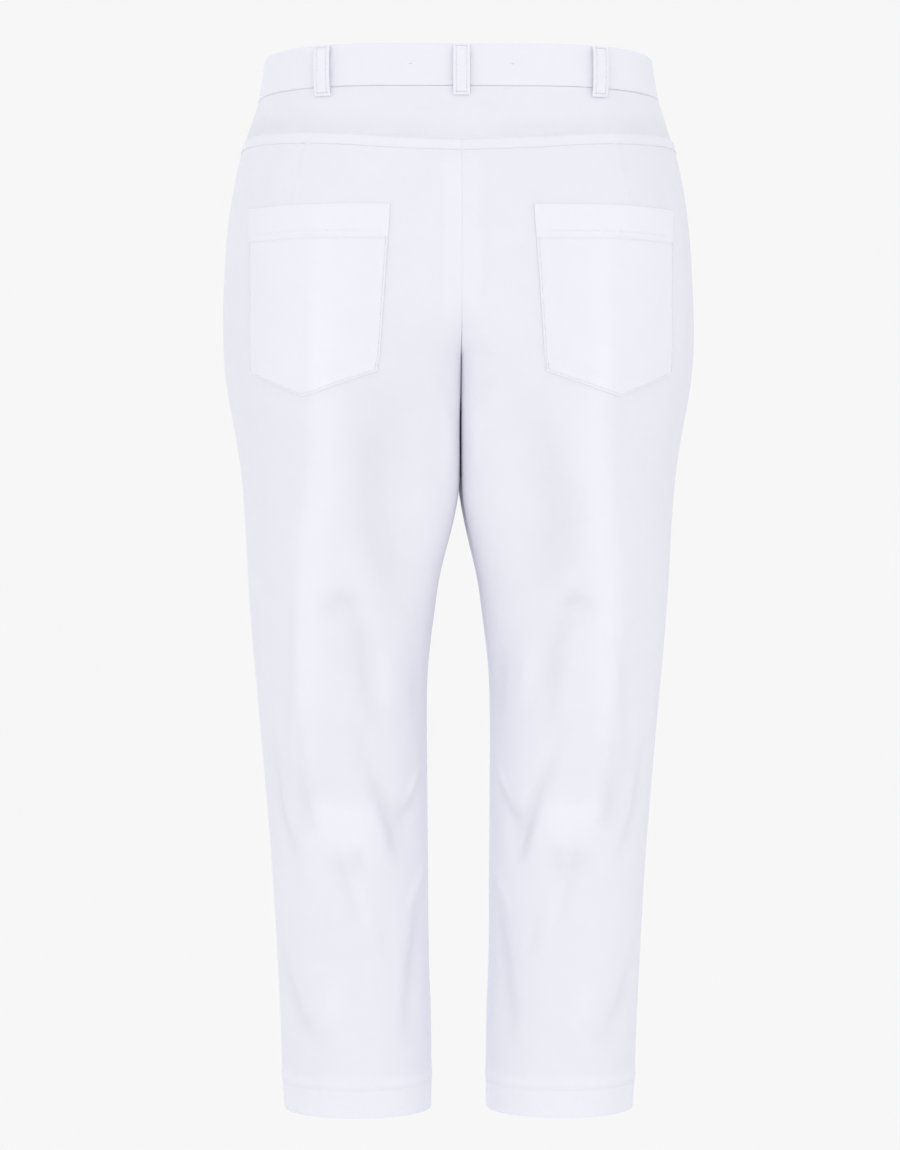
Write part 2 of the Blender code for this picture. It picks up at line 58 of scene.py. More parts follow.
MM = 0.001
LEFT, RIGHT = 1, -1  # the wearer's own, and the sign of x there
HANDS = ((LEFT, "left"), (RIGHT, "right"))

# How the solids are laid, which the cloth has to keep to.
BAND_CLOTH = 2.4
BAND_PROUD = 0.6
BAND_HEIGHT = 34
POCKET_CLOTH = 1.3
HEM_CLOTH = 1.2
LOOP_CLOTH = 1.5
SEAM_GAP = 0.3
LAY_GAP = 0.6
PANEL_WALL = 1.5
LOOP_WIDTH = 13
LOOP_STANDOFF = 2.6
LOOP_TOP_ROW = 0.02
LOOP_BELOW_SEAM = 8
BACK_LOOP_X = 109
FRONT_LOOP_X = 92
OVERLAP = 19
UNDERLAP = 22
BAND_STEP = 7
BUTTON_THICK = 2.6
BUTTON_DISH = 0.7
BUTTON_HOLE_SPACING = 3.6
BUTTON_FROM_CENTRE = 8
ZIP_WIDTH = 26
ZIP_THICK = 1.2
ZIP_TOP = -20
ZIP_LENGTH = 127
SLIDER_BELOW_TOP = 4
SLIDER_WIDTH = 8
SLIDER_LENGTH = 12
SLIDER_THICK = 2.2
TOOTH_SIZE = (3.4, 1.1, 1.3)
TOOTH_PITCH = 1.45
TOOTH_OUT = 0.75
TAB_HALF = 2.3
TAB_STRAIGHT = 4.2  # half of its straight sides
TAB_HOLE = 1.1
TAB_HOLE_ENDS = (4.6, 2.2)
POCKET_TOP = -112
POCKET_CORNER = -242
POCKET_TIP = -261.5
POCKET_TIP_SHARE = 0.52
POCKET_INNER_X_TOP = 56
POCKET_INNER_X_CORNER = 65
POCKET_WIDTH_TOP = 128
POCKET_WIDTH_CORNER = 115
POCKET_LIFT = SEAM_GAP + POCKET_CLOTH
POCKET_NET = (122.0, 140.0)  # the width and length that its net of points is spaced for
LOOP_LENGTH = 44.0
YOKE_DEPTH = 43
HEM_TURN = 24.0

# Sewing
YOKE_ALLOWANCE = 9  # the doubled strip under the yoke seam, held by its topstitching
CENTRE_ALLOWANCE = 14  # the same each side of the centre back seam
HEM_STITCH_UP = 22
POCKET_HEM_FOLD = 27  # how far down the pocket's turned top reaches
POCKET_HEM_STITCH = 21.5
FLY_WIDTH = 34
FLY_LENGTH = 138
LOOP_STITCH_OUT = 3.9  # a loop's two rows of stitches, from its middle
POCKET_STITCH_IN = 1.9  # a pocket's edge stitching, from its edge
SEAM_MEET = 0.27  # how far each edge of a centre seam moves over to close it
EDGE_ROUND = 1.3  # the radius of a seam's turned edge
EDGE_FALL = 0.8  # the share of that radius that it falls away by
HEM_RIDGE = 0.5  # how high the cloth stands above the hem's stitching
TACK_REACH = 40  # the band's two tacks, from centre back
POCKET_PUCKER = 0.12  # how high the small waves are along a pocket's stitching
SEAM_PUCKER = 0.13  # how high they are along a plain seam
SEWN_PUCKER = 0.16  # how high they are along topstitching
YOKE_HOLLOW = 2.4  # how far the cloth falls in above the yoke seam
SHADED_DEPTH = 3.2  # a fold this deep gets the full painted shade
LIGHTEST = -0.8  # the painted shade of the highest ridges; below zero, it paints them lighter
EDGE_STEPS = (0.0, 0.25, 0.6, 1.1, 1.8)  # closer rows of points towards a bent or cut edge


def table(names, *rows):
    """A short table as a dict of its named columns."""
    return {name: np.array(column, float) for name, column in zip(names.split(), zip(*rows))}


# Row numbers: 0 band top, 1 waist seam, 2 yoke seam, 3 high hip, 4 upper seat, 5 full hip, 6 under the seat,
# 7 crotch, 8 upper thigh, 9 mid thigh, 10 low thigh, 11 knee, 12 below the knee, 13 calf, 14 shin,
# 15 hem stitching, 16 hem edge.
WAIST_ROW, YOKE_ROW, CROTCH_ROW, HEM_ROW, LAST_ROW = 1, 2, 7, 15, 16
BACK, FRONT = 1, -1  # also the sign of y on that side

# The outseam: its height, how far out it is and how far back.
OUTSEAM = table(
    "height out back",
    (17, 157.8, 0),
    (-17, 163.6, 0),
    (-50, 175.2, 0),
    (-100, 185.8, 1),
    (-145, 190.3, 2),
    (-195, 192.3, 3),
    (-243, 190.2, 4),
    (-290, 182.0, 4),
    (-345, 175.4, 3),
    (-425, 170.9, 2),
    (-505, 164.0, 2),
    (-590, 156.5, 4),
    (-645, 152.0, 7),
    (-705, 148.4, 9),
    (-765, 145.3, 10),
    (-812, 143.7, 9),
    (-836, 142.2, 8),
)

# The fullest point of each row: its height, distance from the centre plane and depth from the y = 0 plane,
# and how square the row is outside it and inside it (0.55 is an ellipse).
FULLEST = {
    BACK: table(
        "height across depth square_out square_in",
        (18, 62, 104, 0.66, 0.55),
        (-16, 63, 108, 0.66, 0.55),
        (-57.5, 66, 119, 0.65, 0.55),
        (-103, 74, 131, 0.63, 0.52),
        (-147, 80, 138.5, 0.61, 0.55),
        (-194, 84, 140, 0.60, 0.60),
        (-241, 87, 132, 0.60, 0.68),
        (-286, 88, 117, 0.59, 0.74),
        (-341, 89, 104, 0.58, 0.70),
        (-423, 95, 91, 0.57, 0.62),
        (-504, 95, 78, 0.57, 0.58),
        (-590, 91, 66, 0.57, 0.57),
        (-645, 89, 68, 0.57, 0.57),
        (-705, 87, 73, 0.57, 0.57),
        (-765, 84, 75, 0.57, 0.57),
        (-812, 83, 74, 0.57, 0.57),
        (-836, 82.5, 74, 0.57, 0.57),
    ),
    FRONT: table(
        "height across depth square_out square_in",
        (16, 58, 97, 0.62, 0.55),
        (-18, 60, 101, 0.62, 0.55),
        (-51, 62, 105.5, 0.62, 0.55),
        (-101, 66, 110, 0.61, 0.55),
        (-147, 72, 111, 0.60, 0.55),
        (-194, 78, 108, 0.60, 0.55),
        (-242, 84, 102, 0.59, 0.64),
        (-288, 86, 97, 0.58, 0.70),
        (-343, 88, 92, 0.58, 0.68),
        (-424, 95, 85, 0.57, 0.60),
        (-504.5, 95, 78, 0.57, 0.58),
        (-590, 91, 71, 0.57, 0.57),
        (-645, 89, 66, 0.57, 0.57),
        (-705, 87, 60, 0.57, 0.57),
        (-765, 84, 56, 0.57, 0.57),
        (-812, 83, 55, 0.57, 0.57),
        (-836, 82.5, 55, 0.57, 0.57),
    ),
}

# The centre seams from the waist to the crotch point: height, distance back, and how far the cloth turns into
# the seam there (0 runs straight across, 90 dives into the cleft).
RISE = {
    BACK: table(
        "height back turn",
        (18, 104, 0),
        (-16, 108, 0),
        (-60, 119.5, 0),
        (-105, 129.5, 0),
        (-149, 134.5, 4),
        (-190, 130.5, 20),
        (-223, 109, 54),
        (-240, -4, 90),
    ),
    FRONT: table(
        "height back turn",
        (15, -97, 0),
        (-19, -101, 0),
        (-52, -105.5, 0),
        (-102, -109, 0),
        (-148, -108, 5),
        (-193, -97, 22),
        (-226, -68, 55),
        (-240, -4, 90),
    ),
}

# The inseam from the crotch point to the hem: height, distance from the centre plane and distance back.
INSEAM = table(
    "height across back",
    (-240, 0.4, -4),
    (-318, 1.0, -3),
    (-420, 18.6, -1),
    (-504, 26.0, 0),
    (-590, 25.4, 3),
    (-645, 25.0, 6),
    (-705, 24.6, 8),
    (-765, 22.6, 9),
    (-812, 22.2, 8),
    (-836, 22.4, 8),
)

# Where the flat inner side of a leg begins, as a distance back. The legs touch there, or nearly.
CLEFT = {
    BACK: table("row back", (6, 109), (7, 86), (8, 62), (9, 32), (10, 5), (11, 3)),
    FRONT: table("row back", (6, -68), (7, -62), (8, -46), (9, -24), (10, -6), (11, 3)),
}


def spline(values, at, first=0):
    """A smooth curve through one value for each row, the first of them for row number first, read at rows."""
    count = len(values)
    pull = np.zeros((count, count))
    push = np.zeros(count)
    pull[0, 0] = pull[-1, -1] = 1
    for k in range(1, count - 1):
        pull[k, k - 1 : k + 2] = 1, 4, 1
        push[k] = 6 * (values[k - 1] - 2 * values[k] + values[k + 1])
    bend = np.linalg.solve(pull, push)
    at = np.clip(np.asarray(at, float) - first, 0, count - 1)
    low = np.minimum(at.astype(int), count - 2)
    up = at - low
    down = 1 - up
    return (
        down * values[low]
        + up * values[low + 1]
        + ((down**3 - down) * bend[low] + (up**3 - up) * bend[low + 1]) / 6
    )


def steady(values, at, first=0):
    """As spline, but it never swings past the values on either side."""
    step = np.diff(values)
    slope = np.zeros(len(values))
    same_way = step[:-1] * step[1:] > 0
    slope[1:-1][same_way] = 2 / (1 / step[:-1][same_way] + 1 / step[1:][same_way])
    slope[0], slope[-1] = step[0], step[-1]
    at = np.clip(np.asarray(at, float) - first, 0, len(values) - 1)
    low = np.minimum(at.astype(int), len(values) - 2)
    t = at - low
    return (
        (1 + 2 * t) * (1 - t) ** 2 * values[low]
        + t * (1 - t) ** 2 * slope[low]
        + t * t * (3 - 2 * t) * values[low + 1]
        + t * t * (t - 1) * slope[low + 1]
    )


def bezier(points, count):
    """Points along a cubic Bezier, its first point left out."""
    t = np.linspace(0, 1, count + 1)[1:, None]
    a, b, c, d = (np.array(p, float) for p in points)
    return (1 - t) ** 3 * a + 3 * t * (1 - t) ** 2 * b + 3 * t * t * (1 - t) * c + t**3 * d


def gone_along(line):
    """The distance run along a line of points, at each of them."""
    return np.concatenate([[0], np.cumsum(np.linalg.norm(np.diff(line, axis=0), axis=1))])


def unit(vectors):
    """The same directions at length one."""
    return vectors / np.linalg.norm(vectors, axis=-1, keepdims=True)


def between(net, i, j, down, over):
    """A value between four neighbours of a net, down and over from 0 to 1 past row i and column j."""
    near = (1 - over) * net[i, j] + over * net[i, j + 1]
    far = (1 - over) * net[i + 1, j] + over * net[i + 1, j + 1]
    return (1 - down) * near + down * far


def on_side(side, points, normals):
    """Points and normals worked out where x > 0, on the side (+1 or -1) that they belong to."""
    mirror = np.array([side, 1, 1])
    return points * mirror, normals * mirror


def inner_edge(part, row):
    """The inner end of a row: distance from the centre plane, distance back, height and turn."""
    if row < CROTCH_ROW:
        rise = RISE[part]
        return SEAM_GAP / 2, steady(rise["back"], row), steady(rise["height"], row), steady(rise["turn"], row)
    return (
        steady(INSEAM["across"], row, CROTCH_ROW),
        spline(INSEAM["back"], row, CROTCH_ROW),
        spline(INSEAM["height"], row, CROTCH_ROW),
        90.0,
    )


def skin_row(part, row, count):
    """Evenly spaced points along one row, from the outseam to the inner edge, for the side where x > 0."""
    full = FULLEST[part]
    out, side_y, side_z = (spline(OUTSEAM[name], row) for name in ("out", "back", "height"))
    mid_x, mid_z = spline(full["across"], row), spline(full["height"], row)
    mid_y = part * spline(full["depth"], row)
    square_out, square_in = spline(full["square_out"], row), spline(full["square_in"], row)
    in_x, in_y, in_z, turn = inner_edge(part, row)
    cleft = CLEFT[part]
    wall_y = steady(cleft["back"], row, cleft["row"][0])
    if row < cleft["row"][0] or row > cleft["row"][-1]:
        wall_y = in_y

    arc = 48
    outer = bezier(
        (
            (out, side_y),
            (out, side_y + square_out * (mid_y - side_y)),
            (mid_x + square_out * (out - mid_x), mid_y),
            (mid_x, mid_y),
        ),
        arc,
    )
    # The inner quarter heads for the corner where the straight lines off its two ends would meet.
    slope = np.tan(np.radians(min(turn, 89.9)))
    room = mid_x - in_x
    corner_x = min(abs(mid_y - wall_y) / max(slope, 1e-6), room / 2)
    corner_y = wall_y + part * corner_x * slope
    inner = bezier(
        (
            (mid_x, mid_y),
            (mid_x - square_in * (room - corner_x), mid_y),
            (in_x + square_in * corner_x, wall_y + square_in * (corner_y - wall_y)),
            (in_x, wall_y),
        ),
        arc,
    )
    wall = bezier(((in_x, wall_y), (in_x, wall_y), (in_x, in_y), (in_x, in_y)), arc)
    line = np.vstack([[(out, side_y)], outer, inner, wall])
    along = gone_along(line)
    to_mid = along[arc]
    at = np.linspace(0, along[-1], count)
    near_side = np.clip(at / to_mid, 0, 1)
    past_mid = np.clip((at - to_mid) / (along[-1] - to_mid), 0, 1)
    height = side_z + (mid_z - side_z) * near_side**2 + (in_z - mid_z) * past_mid
    return np.column_stack([np.interp(at, along, line[:, 0]), np.interp(at, along, line[:, 1]), height])


# The skin, read off finely once. A place is then found between its neighbours.
PER_ROW = 32
COLUMNS = 257
SKIN = {
    part: np.array([skin_row(part, k / PER_ROW, COLUMNS) for k in range(LAST_ROW * PER_ROW + 1)])
    for part in (BACK, FRONT)
}


def skin(part, across, row):
    """Points of the skin where x > 0, at arrays of places."""
    net = SKIN[part]
    a = np.clip(np.asarray(across, float), 0, 1) * (COLUMNS - 1)
    r = np.clip(np.asarray(row, float), 0, LAST_ROW) * PER_ROW
    i, j = np.minimum(r.astype(int), len(net) - 2), np.minimum(a.astype(int), COLUMNS - 2)
    return between(net, i, j, (r - i)[..., None], (a - j)[..., None])


def skin_normal(part, across, row):
    """Unit normals of the skin where x > 0, pointing out of the garment."""
    da, dr = 1.0 / COLUMNS, 1.0 / PER_ROW
    across = np.clip(np.asarray(across, float), da, 1 - da)
    row = np.clip(np.asarray(row, float), dr, LAST_ROW - dr)
    over = skin(part, across + da, row) - skin(part, across - da, row)
    down = skin(part, across, row + dr) - skin(part, across, row - dr)
    return unit(np.cross(down, over) * part)


def place(part, side, across, row, lift=0.0):
    """Points lifted off the skin by lift, and normals, on the side (+1 or -1) of the centre plane."""
    across, row = np.broadcast_arrays(np.asarray(across, float), np.asarray(row, float))
    normals = skin_normal(part, across, row)
    points = skin(part, across, row) + normals * np.asarray(lift, float)[..., None]
    return on_side(side, points, normals)


def girth(part, row):
    """The length of one row from the outseam to its inner edge."""
    return gone_along(skin(part, np.linspace(0, 1, COLUMNS), row))[-1]


def row_at_height(part, across, height):
    """The row number at a height, by halving, for each place across."""
    across, height = np.broadcast_arrays(np.asarray(across, float), np.asarray(height, float))
    low, high = np.zeros(across.shape), np.full(across.shape, float(LAST_ROW))
    for _ in range(30):
        middle = (low + high) / 2
        above = skin(part, across, middle)[..., 2] > height
        low, high = np.where(above, middle, low), np.where(above, high, middle)
    return (low + high) / 2


def across_at_x(part, x, row):
    """Where a row is this far from the centre plane."""
    a = np.linspace(0, 1, COLUMNS)
    return float(np.interp(-x, -skin(part, a, row)[:, 0], a))


# Folds for each part and side. Each is its width on the outseam side and on the inner side,
# then a line of points as x, height and depth, where a trough is negative and a ridge is positive. x is
# always counted from the centre plane.
FOLDS = {
    (BACK, LEFT): (
        # Left back: the long soft ridge down the leg, then the hollow under the seat.
        (8, 17, (112, -90, 0), (112, -170, 1.4), (114, -255, 2.9), (119, -353, 3.6), (127, -470, 3.4),
         (133, -535, 2.8), (131, -590, 0)),
        (14, 18, (52, -240, 0), (70, -318, -3.4), (64, -380, -4.2), (46, -440, 0)),
        (6, 5, (12, -262, 0), (9.5, -300, 1.2), (12, -336, 0)),
        (5, 4, (24, -238, 0), (15, -252, -1.0), (5, -258, 0)),
        (4, 4, (16, -262, 0), (8, -272, -0.9), (3, -276, 0)),
        # The small hook above the knee, and the trough that runs down from it.
        (8, 8, (114, -444, 0), (103, -427, -2.6), (92, -423, -3.4), (78, -430, 0)),
        (9, 8, (91, -426, 0), (80, -450, -3.0), (77, -478, -3.2), (71, -510, -2.0), (67, -535, 0)),
        (9, 8, (61, -455, 0), (57, -484, 1.6), (56, -515, 0)),
        (8, 10, (38, -440, 0), (37, -495, -1.0), (35, -540, 0)),
        (9, 10, (47, -578, 0), (48, -603, -2.2), (46, -630, 0)),
        # Behind the knee.
        (12, 7, (136, -440, 0), (132, -520, -2.6), (129, -562, -3.2), (121, -597, -2.8), (117, -612, 0)),
        (7, 6, (151, -520, 0), (147, -578, -2.2), (139, -612, -2.4), (129, -634, 0)),
        (20, 12, (126, -586, 0), (108, -595, 3.2), (84, -599, 3.6), (62, -590, 0)),
        (9, 9, (116, -630, 0), (94, -636, -2.0), (70, -630, 0)),
        (8, 8, (87, -500, 0), (79, -546, -2.0), (65, -577, -3.2), (56, -599, -4.2), (51, -617, -3.4),
         (50, -640, 0)),
        (7, 6, (28, -562, 0), (41, -593, -2.4), (51, -616, 0)),
        (3, 4, (30, -548, 0), (37, -569, 1.5), (45, -590, 0)),
        (5, 5, (84, -618, 0), (82, -629, -1.3), (80, -640, 0)),
        # Down the calf.
        (5, 5, (27, -624, 0), (35, -654, 1.6), (46, -682, 0)),
        (9, 10, (29, -652, 0), (36, -705, -3.2), (41, -750, -2.4), (44, -785, 0)),
        (6, 5, (103, -614, 0), (92, -649, -1.8), (81, -688, 0)),
        (6, 6, (84, -645, 0), (77, -668, 1.3), (71, -692, 0)),
        (9, 8, (145, -690, 0), (134, -744, -2.6), (120, -770, -1.6), (110, -786, 0)),
        (9, 9, (108, -725, 0), (103, -747, 1.3), (100, -768, 0)),
        (6, 6, (66, -672, 0), (60, -694, -1.2), (57, -716, 0)),
    ),
    (BACK, RIGHT): (
        # Right back: the same folds, none of them quite alike.
        (8, 16, (111, -92, 0), (111, -172, 1.4), (112, -262, 3.0), (115, -350, 3.5), (121, -465, 3.6),
         (126, -528, 2.9), (125, -584, 0)),
        (14, 18, (52, -246, 0), (72, -326, -3.4), (78, -372, -4.0), (62, -430, 0)),
        (5, 5, (13, -266, 0), (11, -296, 0.8), (14, -324, 0)),
        (5, 4, (26, -240, 0), (17, -253, -1.2), (6, -262, 0)),
        (4, 4, (18, -258, 0), (9, -266, -0.8), (3, -272, 0)),
        (8, 8, (109, -442, 0), (99, -426, -2.8), (88, -424, -3.4), (75, -432, 0)),
        (8, 9, (88, -428, 0), (78, -454, -3.1), (73, -480, -3.0), (71, -508, -2.0), (68, -538, 0)),
        (9, 8, (56, -452, 0), (52, -482, 1.7), (50, -512, 0)),
        (8, 10, (33, -446, 0), (33, -498, -1.0), (32, -546, 0)),
        (9, 10, (45, -580, 0), (47, -606, -2.4), (45, -632, 0)),
        (12, 8, (131, -438, 0), (127, -512, -2.4), (125, -560, -3.1), (119, -594, -2.9), (114, -610, 0)),
        (7, 6, (149, -528, 0), (144, -580, -2.4), (137, -608, -2.2), (126, -636, 0)),
        (20, 12, (122, -584, 0), (104, -592, 3.3), (82, -596, 3.5), (60, -586, 0)),
        (9, 9, (112, -627, 0), (90, -632, -2.1), (67, -626, 0)),
        (7, 7, (84, -504, 0), (76, -548, -1.7), (63, -574, -3.0), (54, -601, -4.4), (49, -620, -3.2),
         (49, -638, 0)),
        (7, 6, (27, -558, 0), (40, -594, -2.5), (49, -619, 0)),
        (3, 4, (29, -544, 0), (35, -566, 1.4), (43, -588, 0)),
        (5, 5, (79, -616, 0), (77, -630, -1.5), (76, -644, 0)),
        (5, 5, (26, -628, 0), (33, -652, 1.5), (43, -676, 0)),
        (9, 10, (28, -650, 0), (34, -702, -3.0), (39, -748, -2.5), (43, -782, 0)),
        (6, 5, (98, -612, 0), (88, -650, -1.7), (78, -690, 0)),
        (6, 6, (80, -648, 0), (74, -670, 1.2), (68, -694, 0)),
        (9, 8, (142, -692, 0), (131, -742, -2.4), (118, -768, -1.8), (107, -785, 0)),
        (9, 9, (105, -722, 0), (100, -745, 1.4), (98, -766, 0)),
        (6, 6, (63, -670, 0), (58, -692, -1.1), (55, -712, 0)),
    ),
    (FRONT, LEFT): (
        # Left front: pulls from the crotch, slack over the thigh, and folds at and below the knee.
        (6, 5, (14, -206, 0), (34, -190, -1.6), (62, -176, -1.2), (92, -170, 0)),
        (7, 6, (12, -224, 0), (36, -216, -2.2), (66, -210, -1.4), (98, -214, 0)),
        (7, 7, (16, -246, 0), (40, -252, -2.0), (66, -268, -1.2), (86, -292, 0)),
        (14, 15, (92, -300, 0), (98, -400, 2.2), (101, -500, 1.6), (98, -560, 0)),
        (12, 12, (40, -330, 0), (50, -400, -1.8), (54, -470, 0)),
        (8, 7, (140, -540, 0), (122, -566, -2.4), (98, -578, -1.2), (76, -576, 0)),
        (7, 8, (30, -520, 0), (44, -556, -2.6), (62, -584, -1.4), (74, -604, 0)),
        (10, 9, (134, -600, 0), (112, -622, -2.0), (88, -634, 0)),
        (9, 9, (34, -610, 0), (48, -650, -2.4), (56, -704, 0)),
        (12, 12, (88, -640, 0), (90, -700, 1.8), (88, -770, 0)),
        (9, 8, (140, -680, 0), (128, -726, -1.8), (116, -766, 0)),
    ),
    (FRONT, RIGHT): (
        # Right front.
        (6, 5, (13, -202, 0), (36, -188, -1.5), (66, -172, -1.1), (88, -168, 0)),
        (7, 6, (12, -228, 0), (40, -222, -2.4), (70, -214, -1.2), (94, -220, 0)),
        (7, 7, (15, -250, 0), (38, -260, -1.8), (60, -280, -1.4), (82, -306, 0)),
        (15, 14, (94, -310, 0), (99, -410, 2.0), (100, -494, 1.8), (96, -570, 0)),
        (12, 12, (42, -322, 0), (52, -396, -2.0), (55, -462, 0)),
        (8, 7, (138, -532, 0), (118, -560, -2.2), (92, -570, -1.4), (70, -566, 0)),
        (7, 8, (30, -528, 0), (46, -562, -2.4), (64, -592, -1.6), (77, -616, 0)),
        (10, 9, (132, -606, 0), (108, -630, -2.2), (84, -640, 0)),
        (9, 9, (33, -616, 0), (46, -658, -2.2), (55, -716, 0)),
        (12, 12, (86, -648, 0), (89, -712, 1.7), (87, -776, 0)),
        (9, 8, (141, -676, 0), (130, -718, -2.0), (117, -760, 0)),
    ),
}

# Where the two darts of the backs run, from the yoke seam to the pocket.
DART = ((123, -62), (129, -85), (134, -110))


def smooth(low, high, value):
    """0 below low, 1 above high and an even S between them."""
    t = np.clip((np.asarray(value, float) - low) / (high - low), 0, 1)
    return t * t * (3 - 2 * t)


def bump(distance, width):
    """1 at no distance, fading to nothing over about twice the width."""
    return np.exp(-((np.asarray(distance, float) / width) ** 2))


GIRTHS = {part: np.array([girth(part, k / 4) for k in range(LAST_ROW * 4 + 1)]) for part in (BACK, FRONT)}


def girth_at(part, row):
    """The length of each row from the outseam to its inner edge, at arrays of rows."""
    return np.interp(row, np.arange(LAST_ROW * 4 + 1) / 4, GIRTHS[part])


FINE = np.linspace(0, 1, 161)


def spot_at(part, x, height):
    """The place on the skin this far from the centre plane at this height, as across and row."""
    level = row_at_height(part, FINE, height)
    line = skin(part, FINE, level)
    across = float(np.interp(-x, -line[:, 0], FINE))
    return across, float(np.interp(across, FINE, level))


def laid(part, x, height):
    """Its distance from the outseam along the cloth, and its height."""
    across, row = spot_at(part, x, height)
    return across * float(girth_at(part, row)), height


def along_line(points, values, s, z):
    """Signed distance of places (s, z) from a line, and the value carried along it at its nearest point."""
    start, step = points[:-1], np.diff(points, axis=0)
    off_s, off_z = s[:, None] - start[:, 0], z[:, None] - start[:, 1]
    t = np.clip((off_s * step[:, 0] + off_z * step[:, 1]) / (step**2).sum(axis=1), 0, 1)
    off_s, off_z = off_s - t * step[:, 0], off_z - t * step[:, 1]
    away = np.hypot(off_s, off_z)
    near = np.argmin(away, axis=1)
    pick = np.arange(len(s))
    side = np.sign(off_s[pick, near] * -step[near, 1] + off_z[pick, near] * step[near, 0])
    value = values[near] + t[pick, near] * (values[near + 1] - values[near])
    return away[pick, near] * side, value


def fold_lines():
    """Each fold as a smooth line of places along the cloth, with its depth."""
    made = {}
    for (part, side), group in FOLDS.items():
        made[part, side] = []
        for outer, inner, *points in group:
            flat = np.array([laid(part, x, height) for x, height, _ in points])
            at = np.linspace(0, len(points) - 1, 8 * len(points))
            line = np.column_stack([spline(flat[:, 0], at), spline(flat[:, 1], at)])
            depth = steady(np.array([p[2] for p in points], float), at)
            made[part, side].append((outer, inner, line, depth))
    return made


LINES = fold_lines()


def folds(part, side, s, z, reach):
    """How far folds lift the cloth, s from the outseam, z high and reach from its inner edge."""
    shape = s.shape
    s, z, reach = s.ravel(), z.ravel(), reach.ravel()
    off = np.zeros(len(s))
    for outer, inner, line, depth in LINES[part, side]:
        room = 3 * max(outer, inner)
        low, high = line.min(axis=0) - room, line.max(axis=0) + room
        near = np.flatnonzero((s > low[0]) & (s < high[0]) & (z > low[1]) & (z < high[1]))
        if not len(near):
            continue
        distance, size = along_line(line, depth, s[near], z[near])
        # The lines run downward or inward, so the sign says which side of them a place is on.
        down = line[-1, 1] < line[0, 1]
        width = np.where((distance > 0) == down, inner, outer)
        off[near] += size * bump(distance, width)
    seams = smooth(0, 12, s) * smooth(0, 9, reach)
    return (off * seams).reshape(shape)


WAVES = np.random.default_rng(11).uniform(0, 1, (2, 2, 9, 3))


def uneven(part, side, s, z):
    """Slow unevenness of cloth that is never quite smooth."""
    waves = WAVES[int(part == BACK), int(side == LEFT)]
    off = np.zeros(np.shape(s))
    for k, (turn, phase, size) in enumerate(waves):
        length = 26 + 14 * k
        angle = np.pi * turn
        swing = 2 * np.pi * (np.cos(angle) * s + 0.7 * np.sin(angle) * z) / length + 2 * np.pi * phase
        off = off + (0.05 + 0.10 * size) * (0.6 + 0.07 * k) * np.sin(swing)
    return off


def pucker(along, distance, size, reach=7.0, length=11.0):
    """The small waves that sewing pulls into cloth, strongest at the seam."""
    wave = np.sin(2 * np.pi * along / length + 1.7 * np.sin(along / 31)) + 0.6 * np.sin(
        2 * np.pi * along / (0.62 * length) + 2.3 * np.sin(along / 47)
    )
    return size * wave * np.exp(-distance / reach)


def yoke_seam_height(across):
    """The height of the yoke seam at places across the back."""
    return skin(BACK, across, YOKE_ROW)[..., 2]


def worn(part, side, across, row, lift=0.0):
    """Points of the worn cloth on one leg, its normals, and the painted shade of each place."""
    across, row = np.broadcast_arrays(np.asarray(across, float), np.asarray(row, float))
    points = skin(part, across, row)
    normals = skin_normal(part, across, row)
    length = girth_at(part, row)
    s, z = across * length, points[..., 2]
    reach = length - s

    # Both sides of a seam turn to one direction there, so that their edges meet.
    own = [skin_normal(part, edge, row) for edge in (0, 1)]
    other = [skin_normal(-part, edge, row) for edge in (0, 1)]
    below = (row >= CROTCH_ROW)[..., None]
    inner = np.where(below, own[1] + other[1], own[1])
    for shared, near in ((own[0] + other[0], bump(s, 9)), (inner, bump(reach, 5))):
        normals = normals * (1 - near[..., None]) + unit(shared) * near[..., None]
    normals = unit(normals)

    off = folds(part, side, s, z, reach)
    off = off + uneven(part, side, s, z) * smooth(0, 12, s) * smooth(0, 9, reach)
    off = off + pucker(z, s, SEAM_PUCKER) * smooth(0, 1.5, s)
    off = off + pucker(z, reach, SEAM_PUCKER, 6) * smooth(0, 1.5, reach)
    if part == BACK:
        above = z - yoke_seam_height(across)
        fade = (0.55 + 0.45 * smooth(8, 40, reach)) * smooth(4, 40, s)
        off = off - YOKE_HOLLOW * fade * bump(above - 5, 10) * smooth(-1, 3, above)
        off = off + pucker(s * 1.1, np.abs(above), SEWN_PUCKER, 6, 13) * smooth(0, 1.5, np.abs(above))
        # Two small dents under the band, beside the centre.
        for x, height, size in ((16, -31, 0.9), (27, -36, 0.6)):
            off = off - size * bump((reach - x) / 2.2, 5) * bump(z - height - 0.12 * reach, 3.2)
    hem_up = z - skin(part, across, LAST_ROW)[..., 2]
    off = off + pucker(s, np.abs(hem_up - HEM_STITCH_UP), SEWN_PUCKER, 7, 15)
    # Painted shade from the folds: troughs darken the cloth's colour, and ridges, below zero, are painted
    # lighter.
    hollow = np.clip(-off / SHADED_DEPTH, LIGHTEST, 1.0)
    points = points + normals * (off + np.asarray(lift, float))[..., None]
    return (*on_side(side, points, normals), hollow)


def steps(length, pitch, first=(), last=()):
    """Distances from 0 to length, pitch apart but closer at the two ends, where the lists say how."""
    start = first[-1] if len(first) else 0.0
    end = length - (last[-1] if len(last) else 0.0)
    count = max(2, int(round((end - start) / pitch)) + 1)
    middle = np.linspace(start, end, count)
    return np.concatenate([first[:-1], middle, length - np.array(last[-2::-1], float)])


def rounded(distance, radius):
    """How far a surface falls away towards a rounded edge."""
    t = np.clip(1 - np.asarray(distance, float) / radius, 0, 1)
    return radius * (1 - np.sqrt(1 - 0.98 * t * t))


def edge_distance(steps_here):
    """The distance from the nearer end of a run of steps."""
    return np.minimum(steps_here, steps_here[-1] - steps_here)


